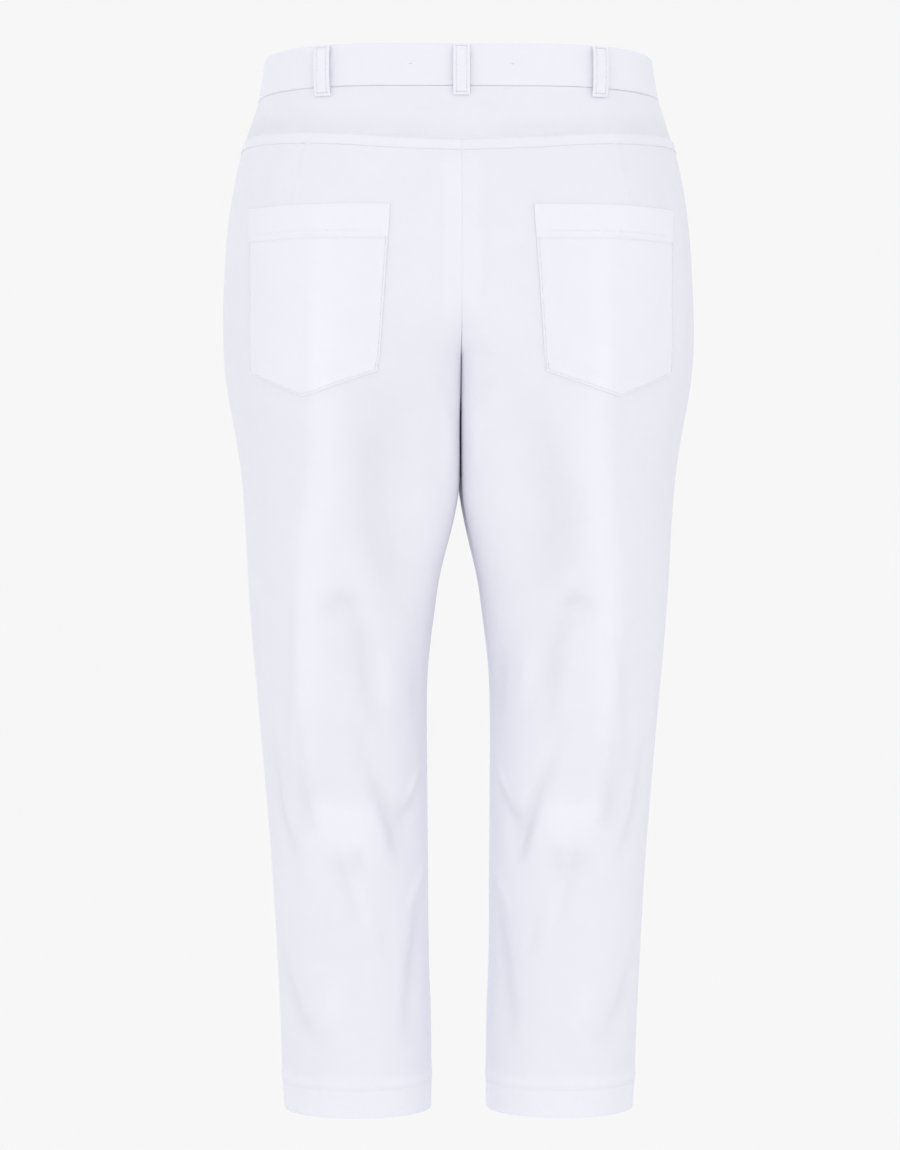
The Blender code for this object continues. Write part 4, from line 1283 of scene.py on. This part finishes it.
def pocket_lines(side):
    """Edge stitching round the sides and foot, a row across the turned top and two corner tacks."""
    width = POCKET_NET[0]
    inset = POCKET_STITCH_IN / width
    lines = []
    t = np.linspace(0, 1, 60)
    for share in (inset, 1 - inset):
        depth = (1.0 + t * (float(pocket_depth(share)) - 2.9)) / float(pocket_depth(share))
        lines.append((np.full(60, share), depth))
    share = inset + t * (1 - 2 * inset)
    for first, last in ((inset, POCKET_TIP_SHARE), (POCKET_TIP_SHARE, 1 - inset)):
        here = first + t * (last - first)
        lines.append((here, 1 - 1.95 / pocket_depth(here)))
    lines.append((share, POCKET_HEM_STITCH / pocket_depth(share)))
    runs = []
    for share, depth in lines:
        points, normals, _ = pocket_surface(side, share, depth, -0.02)
        runs.append(run_of_stitches(points, normals, 2.8))
    for x in (0.6, width - 0.6):
        share = np.full(12, x / width)
        depth = np.linspace(0.4, 5.5, 12) / 130
        zigzag = share + np.sin(np.arange(12) * np.pi / 2) * 0.004
        points, normals, _ = pocket_surface(side, zigzag, depth, 0.1)
        runs.append(run_of_stitches(points, normals, 1.1, 0.9))
    return join_runs(runs)


def loop_lines(part, side, x):
    """Two rows down a belt loop and a short one across each end."""
    runs = []
    down = np.linspace(0.03, 0.97, 60)
    for offset in (-LOOP_STITCH_OUT, LOOP_STITCH_OUT):
        here, facing = loop_surface(part, side, x, np.array([offset]), down, -0.18)
        runs.append(run_of_stitches(here[:, 0], facing[:, 0], 2.6))
    offset = np.linspace(-4.6, 4.6, 17)
    for at in (0.05, 0.95):
        here, facing = loop_surface(part, side, x, offset, np.array([at]), -0.12)
        runs.append(run_of_stitches(here[0], facing[0], 1.5, 0.9))
    return join_runs(runs)


def band_tacks():
    """A tiny tack each side of the middle of the band's back, and the satin stitches of the buttonhole."""
    runs = []
    for side in (LEFT, RIGHT):
        across = 1 - (TACK_REACH + np.array([-1.4, 1.4])) / float(girth_at(BACK, 0.5))
        here, facing = place(BACK, side, across, np.array([0.5, 0.5]), BAND_PROUD - 0.05)
        runs.append((here[:1], here[1:], facing[:1]))
    front = float(girth_at(FRONT, 0.5))
    x = np.arange(-9.0, 12.5, 0.62)
    for low, high in ((0.35, 2.3), (-0.35, -2.3)):
        ends = []
        for up in (low, high):
            across = 1 - x / front
            row = np.full(len(x), 0.5 - up / BAND_HEIGHT)
            ends.append(mirrored(FRONT, LEFT, across, row, np.full(len(x), BAND_PROUD + 0.1)))
        (start, facing), (end, _) = ends
        runs.append((start, end, facing))
    bars = np.arange(-2.2, 2.3, 0.62)
    for reach in (-9.6, 12.9):
        row = 0.5 - bars / BAND_HEIGHT
        pair = [
            mirrored(FRONT, LEFT, np.full(len(bars), 1 - (reach + e) / front), row, np.full(len(bars), 0.7))
            for e in (-0.8, 0.8)
        ]
        runs.append((pair[0][0], pair[1][0], pair[0][1]))
    return join_runs(runs)


def button_frame():
    """The middle of the button's back, and its right, up and outward directions."""
    across = np.array([1 - BUTTON_FROM_CENTRE / float(girth_at(FRONT, 0.5))])
    seat, facing = place(FRONT, 1, across, np.array([0.5]), BAND_PROUD + SEAM_GAP)
    out = facing[0]
    quat = Vector(out).to_track_quat("Z", "Y")
    right, up = np.array(quat @ Vector((1, 0, 0))), np.array(quat @ Vector((0, 1, 0)))
    return seat[0], right, up, out


def button_thread():
    """Thread crossing between the holes in two pairs of bars, three strands each, and down through them."""
    seat, right, up, out = button_frame()
    half = BUTTON_HOLE_SPACING / 2
    face = BUTTON_THICK - BUTTON_DISH + 0.12
    starts, ends, facing = [], [], []
    for y in (-1, 1):
        for strand in (-0.32, 0.0, 0.32):
            middle = seat + up * (half * y + strand) + out * face
            starts.append(middle - right * half * 1.12)
            ends.append(middle + right * half * 1.12)
            facing.append(out)
    for x in (-1, 1):
        for y in (-1, 1):
            starts.append(seat + right * half * x + up * half * y + out * (face + 0.1))
            ends.append(seat + right * half * x + up * half * y - out * 0.25)
            facing.append(right)
    return starts, ends, facing


def add_node(tree, kind, **values):
    """A node with its sockets or properties set by name."""
    node = tree.nodes.new(kind)
    for name, value in values.items():
        if hasattr(node, name):
            setattr(node, name, value)
        else:
            node.inputs[name].default_value = value
    return node


def maths(tree, operation, first, second=None):
    """The output of a Math node, fed by sockets or plain numbers."""
    node = add_node(tree, "ShaderNodeMath", operation=operation)
    for k, value in enumerate((first, second)):
        if value is None:
            continue
        if hasattr(value, "is_linked"):
            tree.links.new(value, node.inputs[k])
        else:
            node.inputs[k].default_value = value
    return node.outputs[0]


def new_group(name, inputs, outputs):
    """An empty shader group with named sockets, its inputs and its outputs."""
    group = bpy.data.node_groups.new(name, "ShaderNodeTree")
    for label, kind, default in inputs:
        socket = group.interface.new_socket(label, in_out="INPUT", socket_type=kind)
        if default is not None:
            socket.default_value = default
    for label, kind in outputs:
        group.interface.new_socket(label, in_out="OUTPUT", socket_type=kind)
    return group, group.nodes.new("NodeGroupInput").outputs, group.nodes.new("NodeGroupOutput").inputs


TURN = 6.2832  # one whole turn, in radians


def weave_group():
    """Twill ribs with uneven yarn, and the soft cockle of washed cloth over them."""
    group, given, out = new_group(
        "twill_weave",
        (
            ("Yarns", "NodeSocketVector", None),
            ("Rib Spacing", "NodeSocketFloat", 0.7),
            ("Rib Height", "NodeSocketFloat", 0.5),
            ("Cockle", "NodeSocketFloat", 0.6),
        ),
        (("Height", "NodeSocketFloat"), ("Rib Mask", "NodeSocketFloat")),
    )
    calc = functools.partial(maths, group)
    split = group.nodes.new("ShaderNodeSeparateXYZ")
    group.links.new(given["Yarns"], split.inputs[0])
    slub = add_node(group, "ShaderNodeTexNoise", Scale=0.35, Detail=2.0)
    group.links.new(given["Yarns"], slub.inputs["Vector"])
    diagonal = calc("ADD", split.outputs[0], calc("MULTIPLY", split.outputs[1], 0.8))
    diagonal = calc("ADD", diagonal, calc("MULTIPLY", slub.outputs["Fac"], 0.9))
    turn = calc("DIVIDE", calc("MULTIPLY", diagonal, TURN), given["Rib Spacing"])
    rib = calc("SINE", turn)
    cross = calc("SINE", calc("DIVIDE", calc("MULTIPLY", split.outputs[1], TURN), 0.42))
    rib = calc("ADD", rib, calc("MULTIPLY", cross, 0.35))
    cockle = add_node(group, "ShaderNodeTexNoise", Scale=0.11, Detail=3.0, Roughness=0.55)
    group.links.new(given["Yarns"], cockle.inputs["Vector"])
    high = calc("MULTIPLY", rib, given["Rib Height"])
    low = calc("MULTIPLY", calc("SUBTRACT", cockle.outputs["Fac"], 0.5), given["Cockle"])
    group.links.new(calc("ADD", high, calc("MULTIPLY", low, 6.0)), out["Height"])
    group.links.new(calc("ADD", calc("MULTIPLY", rib, 0.4), 0.5), out["Rib Mask"])
    return group


def tone_group():
    """Cloth colour: lighter where it lies double and where light is painted on, darker where shade is painted
    on, with a slight mottle.
    """
    group, given, out = new_group(
        "cloth_tone",
        (
            ("Colour", "NodeSocketColor", None),
            ("Yarns", "NodeSocketVector", None),
            ("Plies And Painted Light", "NodeSocketFloat", 0.0),
            ("Painted Shade", "NodeSocketFloat", 0.0),
            ("Rib Mask", "NodeSocketFloat", 0.5),
            ("Double Lift", "NodeSocketFloat", 0.03),
            ("Hollow Depth", "NodeSocketFloat", 0.05),
            ("Mottle", "NodeSocketFloat", 0.03),
        ),
        (("Colour", "NodeSocketColor"), ("Roughness", "NodeSocketFloat")),
    )
    calc = functools.partial(maths, group)
    mottle = add_node(group, "ShaderNodeTexNoise", Scale=0.045, Detail=4.0)
    group.links.new(given["Yarns"], mottle.inputs["Vector"])
    shade = calc("MULTIPLY", calc("SUBTRACT", mottle.outputs["Fac"], 0.5), given["Mottle"])
    # Lighter where the cloth lies double and where light is painted on.
    shade = calc("ADD", shade, calc("MULTIPLY", given["Plies And Painted Light"], given["Double Lift"]))
    # Darker with painted shade; ridges, below zero, come out lighter.
    shade = calc("SUBTRACT", shade, calc("MULTIPLY", given["Painted Shade"], given["Hollow Depth"]))
    ribs = calc("MULTIPLY", calc("SUBTRACT", given["Rib Mask"], 0.5), 0.03)
    factor = calc("ADD", calc("ADD", shade, ribs), 1.0)
    scale = add_node(group, "ShaderNodeVectorMath", operation="SCALE")
    group.links.new(given["Colour"], scale.inputs[0])
    group.links.new(factor, scale.inputs["Scale"])
    group.links.new(scale.outputs[0], out["Colour"])
    rough = calc("SUBTRACT", 0.93, calc("MULTIPLY", given["Rib Mask"], 0.08))
    group.links.new(rough, out["Roughness"])
    return group


def wear_group():
    """Fine handling marks for the hard fittings, as roughness and tone."""
    group, given, out = new_group(
        "handling_marks",
        (
            ("Colour", "NodeSocketColor", None),
            ("Smooth", "NodeSocketFloat", 0.3),
            ("Marks", "NodeSocketFloat", 0.15),
            ("Grain", "NodeSocketFloat", 900.0),
        ),
        (("Colour", "NodeSocketColor"), ("Roughness", "NodeSocketFloat"), ("Height", "NodeSocketFloat")),
    )
    calc = functools.partial(maths, group)
    where = group.nodes.new("ShaderNodeTexCoord")
    noise = add_node(group, "ShaderNodeTexNoise", Detail=4.0)
    group.links.new(where.outputs["Object"], noise.inputs["Vector"])
    group.links.new(given["Grain"], noise.inputs["Scale"])
    spread = calc("MULTIPLY", calc("SUBTRACT", noise.outputs["Fac"], 0.5), given["Marks"])
    group.links.new(calc("ADD", given["Smooth"], spread), out["Roughness"])
    scale = add_node(group, "ShaderNodeVectorMath", operation="SCALE")
    group.links.new(given["Colour"], scale.inputs[0])
    group.links.new(calc("SUBTRACT", 1.0, calc("MULTIPLY", spread, 0.6)), scale.inputs["Scale"])
    group.links.new(scale.outputs[0], out["Colour"])
    group.links.new(noise.outputs["Fac"], out["Height"])
    return group


def group_named(name, build):
    """The group of that name, made if it isn't there yet."""
    return bpy.data.node_groups.get(name) or build()


def new_material(name):
    """A material with its tree and its shader."""
    made = bpy.data.materials.new(name)
    made.use_nodes = True
    tree = made.node_tree
    return made, tree, tree.nodes["Principled BSDF"]


def use_group(tree, group, **values):
    """A group placed in a material, with its own values."""
    node = tree.nodes.new("ShaderNodeGroup")
    node.node_tree = group
    for name, value in values.items():
        node.inputs[name.replace("_", " ")].default_value = value
    return node


def raise_surface(tree, shader, height, strength, depth):
    """Drives the shader's normal from a height."""
    bump_node = add_node(tree, "ShaderNodeBump", Strength=strength, Distance=depth)
    tree.links.new(height, bump_node.inputs["Height"])
    tree.links.new(bump_node.outputs["Normal"], shader.inputs["Normal"])


def mark_node(tree, name):
    """Reads a mark stored on the piece's points."""
    return add_node(tree, "ShaderNodeAttribute", attribute_name=name)


def woven(name, colour, rib, rib_height, strength, cockle=0.0, double_and_painted_lift=0.0, hollow_depth=0.0):
    """A woven finish. The marks on each piece say where it lies double, where light is painted on and where
    shade is painted on.
    """
    found = bpy.data.materials.get(name)
    if found:
        return found
    made, tree, shader = new_material(name)
    yarns = mark_node(tree, "weave").outputs["Vector"]
    group = group_named("twill_weave", weave_group)
    weave = use_group(tree, group, Rib_Spacing=rib, Rib_Height=rib_height, Cockle=cockle)
    group = group_named("cloth_tone", tone_group)
    tone = use_group(
        tree, group, Colour=(*colour, 1.0), Double_Lift=double_and_painted_lift, Hollow_Depth=hollow_depth
    )
    tree.links.new(yarns, weave.inputs["Yarns"])
    tree.links.new(yarns, tone.inputs["Yarns"])
    tree.links.new(mark_node(tree, "plies").outputs["Fac"], tone.inputs["Plies And Painted Light"])
    tree.links.new(mark_node(tree, "hollow").outputs["Fac"], tone.inputs["Painted Shade"])
    tree.links.new(weave.outputs["Rib Mask"], tone.inputs["Rib Mask"])
    tree.links.new(tone.outputs["Colour"], shader.inputs["Base Color"])
    tree.links.new(tone.outputs["Roughness"], shader.inputs["Roughness"])
    shader.inputs["Specular IOR Level"].default_value = 0.2
    shader.inputs["Sheen Weight"].default_value = 0.06
    shader.inputs["Sheen Roughness"].default_value = 0.5
    raise_surface(tree, shader, weave.outputs["Height"], strength, 0.00012)
    return made


def hard(name, colour, metallic, smoothness, marks, coat=0.0):
    """A button or metal finish with fine handling marks."""
    found = bpy.data.materials.get(name)
    if found:
        return found
    made, tree, shader = new_material(name)
    group = group_named("handling_marks", wear_group)
    wear = use_group(tree, group, Colour=(*colour, 1.0), Marks=marks, Smooth=smoothness)
    shader.inputs["Metallic"].default_value = metallic
    shader.inputs["Coat Weight"].default_value = coat
    tree.links.new(wear.outputs["Colour"], shader.inputs["Base Color"])
    tree.links.new(wear.outputs["Roughness"], shader.inputs["Roughness"])
    raise_surface(tree, shader, wear.outputs["Height"], 0.15, 0.00005)
    return made


def cloth_finish(colours):
    return woven(
        "white_twill",
        colours.cloth,
        rib=0.75,
        rib_height=0.45,
        strength=0.55,
        cockle=0.7,
        double_and_painted_lift=colours.double_and_painted_lift,
        hollow_depth=colours.hollow_depth,
    )


def thread_finish(colours):
    return woven("sewing_thread", colours.thread, rib=0.33, rib_height=1.0, strength=0.8)


def tape_finish(colours):
    return woven("woven_tape", colours.tape, rib=0.9, rib_height=0.8, strength=0.8, cockle=0.2)


def metal_finish(colours):
    return hard("zip_metal_finish", colours.metal, metallic=1.0, smoothness=0.34, marks=0.25)


def button_finish(colours):
    return hard("button_shell", colours.button, metallic=0.0, smoothness=0.3, marks=0.2, coat=0.35)


class TrouserSizes(bpy.types.PropertyGroup):
    cloth_wall: bpy.props.FloatProperty(
        name="Cloth",
        description="Thickness of the fronts, backs and yoke, in metres",
        default=1.0 * MM,
        min=0.3 * MM,
        max=1.5 * MM,
        precision=4,
        subtype="DISTANCE",
        unit="LENGTH",
    )
    floor_height: bpy.props.FloatProperty(
        name="Floor",
        description="Height of the floor below the waist, where the wearer's feet would be",
        default=-1.03,
        subtype="DISTANCE",
        unit="LENGTH",
    )


class TrouserColours(bpy.types.PropertyGroup):
    cloth: bpy.props.FloatVectorProperty(
        name="Cloth",
        description="The white twill",
        default=(0.85, 0.85, 0.924),
        min=0,
        max=1,
        subtype="COLOR",
    )
    thread: bpy.props.FloatVectorProperty(
        name="Thread",
        description="All the sewing",
        default=(0.93, 0.93, 0.97),
        min=0,
        max=1,
        subtype="COLOR",
    )
    tape: bpy.props.FloatVectorProperty(
        name="Zip tape",
        description="The zip's tape",
        default=(0.80, 0.80, 0.84),
        min=0,
        max=1,
        subtype="COLOR",
    )
    metal: bpy.props.FloatVectorProperty(
        name="Zip metal",
        description="Teeth and slider",
        default=(0.78, 0.78, 0.80),
        min=0,
        max=1,
        subtype="COLOR",
    )
    button: bpy.props.FloatVectorProperty(
        name="Button",
        description="The waist button",
        default=(0.84, 0.84, 0.86),
        min=0,
        max=1,
        subtype="COLOR",
    )
    backdrop: bpy.props.FloatVectorProperty(
        name="Backdrop",
        description="Floor and sweep",
        default=(0.93, 0.93, 0.93),
        min=0,
        max=1,
        subtype="COLOR",
    )
    # Also sets the painted light on the inner legs and above the hems.
    double_and_painted_lift: bpy.props.FloatProperty(
        name="Double lift",
        description="How much lighter the thin cloth looks where it lies double",
        default=0.035,
        min=0,
        max=0.3,
        subtype="FACTOR",
    )
    # The strength of the painted shade in folds and seams, and of the painted light on ridges.
    hollow_depth: bpy.props.FloatProperty(
        name="Hollow depth",
        description="How much deeper its colour looks in the hollows of folds",
        default=0.05,
        min=0,
        max=0.3,
        subtype="FACTOR",
    )


class TROUSERS_OT_panels(bpy.types.Operator):
    """Make the two fronts and the two backs"""

    bl_idname = "trousers.panels"
    bl_label = "Fronts and Backs"
    bl_options = {"REGISTER", "UNDO"}

    def execute(self, context):
        sizes = context.scene.trouser_sizes
        colours = context.scene.trouser_colours
        finish = cloth_finish(colours)
        for part, word, cut in ((BACK, "back", (0.30, 0.80, 0.197)), (FRONT, "front", (0.29, 0.85, 0.199))):
            for side, hand in HANDS:
                made = panel(part, side, f"{word}_panel_{hand}", finish, sizes.cloth_wall / MM)
                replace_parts(made, f"{word}_{hand}")
        return {"FINISHED"}


class TROUSERS_OT_yoke(bpy.types.Operator):
    """Make the pointed back yoke"""

    bl_idname = "trousers.yoke"
    bl_label = "Back Yoke"
    bl_options = {"REGISTER", "UNDO"}

    def execute(self, context):
        sizes = context.scene.trouser_sizes
        colours = context.scene.trouser_colours
        made = yoke_piece(cloth_finish(colours), sizes.cloth_wall / MM)
        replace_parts(made, "back_yoke")
        return {"FINISHED"}


class TROUSERS_OT_waistband(bpy.types.Operator):
    """Make the waistband, its tacks and its buttonhole"""

    bl_idname = "trousers.waistband"
    bl_label = "Waistband"
    bl_options = {"REGISTER", "UNDO"}

    def execute(self, context):
        colours = context.scene.trouser_colours
        made = band_piece(cloth_finish(colours))
        tacks = stitch_mesh("band_tacks", *band_tacks(), thread_finish(colours), radius=0.26, arch=0.1)
        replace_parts(made, "waistband")
        return {"FINISHED"}


class TROUSERS_OT_hems(bpy.types.Operator):
    """Make the turned-up hems and their stitching"""

    bl_idname = "trousers.hems"
    bl_label = "Leg Hems"
    bl_options = {"REGISTER", "UNDO"}

    def execute(self, context):
        colours = context.scene.trouser_colours
        for side, hand in HANDS:
            made = hem_piece(side, hand, cloth_finish(colours))
            runs = [run_of_stitches(*hem_line(part, side), pitch=3.2) for part in (BACK, FRONT)]
            sewing = stitch_mesh(f"hem_stitching_{hand}", *join_runs(runs), thread_finish(colours))
            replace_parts(made, f"hem_{hand}")
        return {"FINISHED"}


class TROUSERS_OT_pockets(bpy.types.Operator):
    """Make the two back pockets and their stitching"""

    bl_idname = "trousers.pockets"
    bl_label = "Back Pockets"
    bl_options = {"REGISTER", "UNDO"}

    def execute(self, context):
        colours = context.scene.trouser_colours
        for side, hand in HANDS:
            made = pocket_piece(side, hand, cloth_finish(colours))
            sewing = stitch_mesh(f"pocket_stitching_{hand}", *pocket_lines(side), thread_finish(colours))
            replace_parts(made, f"pocket_{hand}")
        return {"FINISHED"}


class TROUSERS_OT_loops(bpy.types.Operator):
    """Make the five belt loops"""

    bl_idname = "trousers.belt_loops"
    bl_label = "Belt Loops"
    bl_options = {"REGISTER", "UNDO"}

    def execute(self, context):
        colours = context.scene.trouser_colours
        for label, part, side, x in LOOPS:
            made = loop_piece(label, part, side, x, cloth_finish(colours))
            lines = loop_lines(part, side, x)
            sewing = stitch_mesh(f"loop_stitching_{label}", *lines, thread_finish(colours))
            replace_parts(made, f"belt_loop_{label}")
        return {"FINISHED"}


class TROUSERS_OT_sewing(bpy.types.Operator):
    """Sew the yoke and the fly"""

    bl_idname = "trousers.sewing"
    bl_label = "Yoke and Fly Stitching"
    bl_options = {"REGISTER", "UNDO"}

    def execute(self, context):
        colours = context.scene.trouser_colours
        finish = thread_finish(colours)
        runs = [run_of_stitches(*yoke_line(side)) for side in (LEFT, RIGHT)]
        stitch_mesh("yoke_stitching", *join_runs(runs), finish)
        stitch_mesh("fly_stitching", *run_of_stitches(*fly_line()), finish)
        return {"FINISHED"}


class TROUSERS_OT_closure(bpy.types.Operator):
    """Make the zip and finish the button"""

    bl_idname = "trousers.closure"
    bl_label = "Zip and Button"
    bl_options = {"REGISTER", "UNDO"}

    def execute(self, context):
        colours = context.scene.trouser_colours
        tape = zip_piece(tape_finish(colours))
        teeth = zip_teeth(metal_finish(colours))
        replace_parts(tape, "zip_tape")
        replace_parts(slider_piece(metal_finish(colours)), "zip_slider")
        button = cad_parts["button"]
        finish = button_finish(colours)
        for slot in button.material_slots:
            slot.material = finish
        thread = thread_finish(colours)
        stitch_mesh("button_thread", *button_thread(), thread, radius=0.3, arch=0.15, slot_name="button")
        return {"FINISHED"}


class TROUSERS_OT_stage(bpy.types.Operator):
    """Set the floor, the light and the camera"""

    bl_idname = "trousers.stage"
    bl_label = "Floor, Light and Camera"
    bl_options = {"REGISTER", "UNDO"}

    def execute(self, context):
        sizes = context.scene.trouser_sizes
        colours = context.scene.trouser_colours
        backdrop(sizes.floor_height, colours.backdrop)
        lights(colours.backdrop)
        camera()
        return {"FINISHED"}


CAMERA_AT = (0.0625, 2.8, -0.402)
CAMERA_AIM = (0.0069, 0.0, -0.402)
CAMERA_LENS = 106.9
FILM_HEIGHT = 36.0


def camera():
    """A level camera behind the trousers, a little to one side of their middle."""
    data = bpy.data.cameras.new("camera")
    data.sensor_fit = "VERTICAL"
    data.sensor_height = FILM_HEIGHT
    data.lens = CAMERA_LENS
    made = bpy.data.objects.new("camera", data)
    made.location = CAMERA_AT
    made.rotation_euler = (Vector(CAMERA_AIM) - Vector(CAMERA_AT)).to_track_quat("-Z", "Y").to_euler()
    bpy.context.scene.collection.objects.link(made)
    bpy.context.scene.camera = made


def backdrop(floor, colour):
    """A floor that sweeps up behind, evenly lit."""
    half, depth, sweep, top = 14.0, -6.0, 1.5, 9.0
    line = [(half, floor)]
    for turn in np.linspace(0, np.pi / 2, 16):
        line.append((depth + sweep - sweep * np.sin(turn), floor + sweep - sweep * np.cos(turn)))
    line.append((depth, top))
    points = [(x, y, z) for x in (-half, half) for y, z in line]
    count = len(line)
    faces = [(k, k + 1, count + k + 1, count + k) for k in range(count - 1)]
    mesh = bpy.data.meshes.new("backdrop")
    mesh.from_pydata(points, [], faces)
    mesh.shade_smooth()
    made_of, tree, shader = new_material("pale_backdrop")
    shader.inputs["Base Color"].default_value = (0.02, 0.02, 0.02, 1.0)
    shader.inputs["Roughness"].default_value = 1.0
    shader.inputs["Specular IOR Level"].default_value = 0.0
    shader.inputs["Emission Color"].default_value = (*colour, 1.0)
    shader.inputs["Emission Strength"].default_value = 0.98
    mesh.materials.append(made_of)
    made = bpy.data.objects.new("backdrop", mesh)
    bpy.context.scene.collection.objects.link(made)


def lights(colour):
    """Soft light from all round, a broad one near the camera, and weak ones above it and on the far side."""
    world = bpy.data.worlds.new("studio")
    world.use_nodes = True
    world.node_tree.nodes["Background"].inputs["Color"].default_value = (*colour, 1.0)
    world.node_tree.nodes["Background"].inputs["Strength"].default_value = 1.0
    bpy.context.scene.world = world
    bpy.context.scene.view_settings.view_transform = "Standard"
    for name, at, size, watts in (
        ("near_light", (0.1, 4.0, -0.4), 2.6, 19.0),
        ("top_light", (0.0, 1.9, 2.0), 1.6, 1.5),
        ("far_light", (1.8, -2.4, 0.9), 1.6, 8.0),
    ):
        data = bpy.data.lights.new(name, "AREA")
        data.shape = "DISK"
        data.size = size
        data.energy = watts
        made = bpy.data.objects.new(name, data)
        made.location = at
        made.rotation_euler = (Vector(CAMERA_AIM) - Vector(at)).to_track_quat("-Z", "Y").to_euler()
        made.visible_camera = False
        bpy.context.scene.collection.objects.link(made)


OPERATORS = (
    TROUSERS_OT_waistband,
    TROUSERS_OT_yoke,
    TROUSERS_OT_panels,
    TROUSERS_OT_hems,
    TROUSERS_OT_pockets,
    TROUSERS_OT_loops,
    TROUSERS_OT_sewing,
    TROUSERS_OT_closure,
    TROUSERS_OT_stage,
)


class TROUSERS_PT_sidebar(bpy.types.Panel):
    """Builds the trousers piece by piece"""

    bl_idname = "TROUSERS_PT_sidebar"
    bl_label = "Capri Trousers"
    bl_space_type = "VIEW_3D"
    bl_region_type = "UI"
    bl_category = "Trousers"

    def draw(self, context):
        for group in (context.scene.trouser_sizes, context.scene.trouser_colours):
            box = self.layout.box()
            for name in group.__annotations__:
                box.prop(group, name)
        for operator in OPERATORS:
            self.layout.operator(operator.bl_idname)


CLASSES = (TrouserSizes, TrouserColours, *OPERATORS, TROUSERS_PT_sidebar)


def register():
    for each in CLASSES:
        bpy.utils.register_class(each)
    bpy.types.Scene.trouser_sizes = bpy.props.PointerProperty(type=TrouserSizes)
    bpy.types.Scene.trouser_colours = bpy.props.PointerProperty(type=TrouserColours)


def unregister():
    del bpy.types.Scene.trouser_colours
    del bpy.types.Scene.trouser_sizes
    for each in reversed(CLASSES):
        bpy.utils.unregister_class(each)


def main():
    register()
    bpy.ops.trousers.waistband()
    bpy.ops.trousers.yoke()
    bpy.ops.trousers.panels()
    bpy.ops.trousers.hems()
    bpy.ops.trousers.pockets()
    bpy.ops.trousers.belt_loops()
    bpy.ops.trousers.sewing()
    bpy.ops.trousers.closure()
    bpy.ops.trousers.stage()


if __name__ == "__main__":
    main()
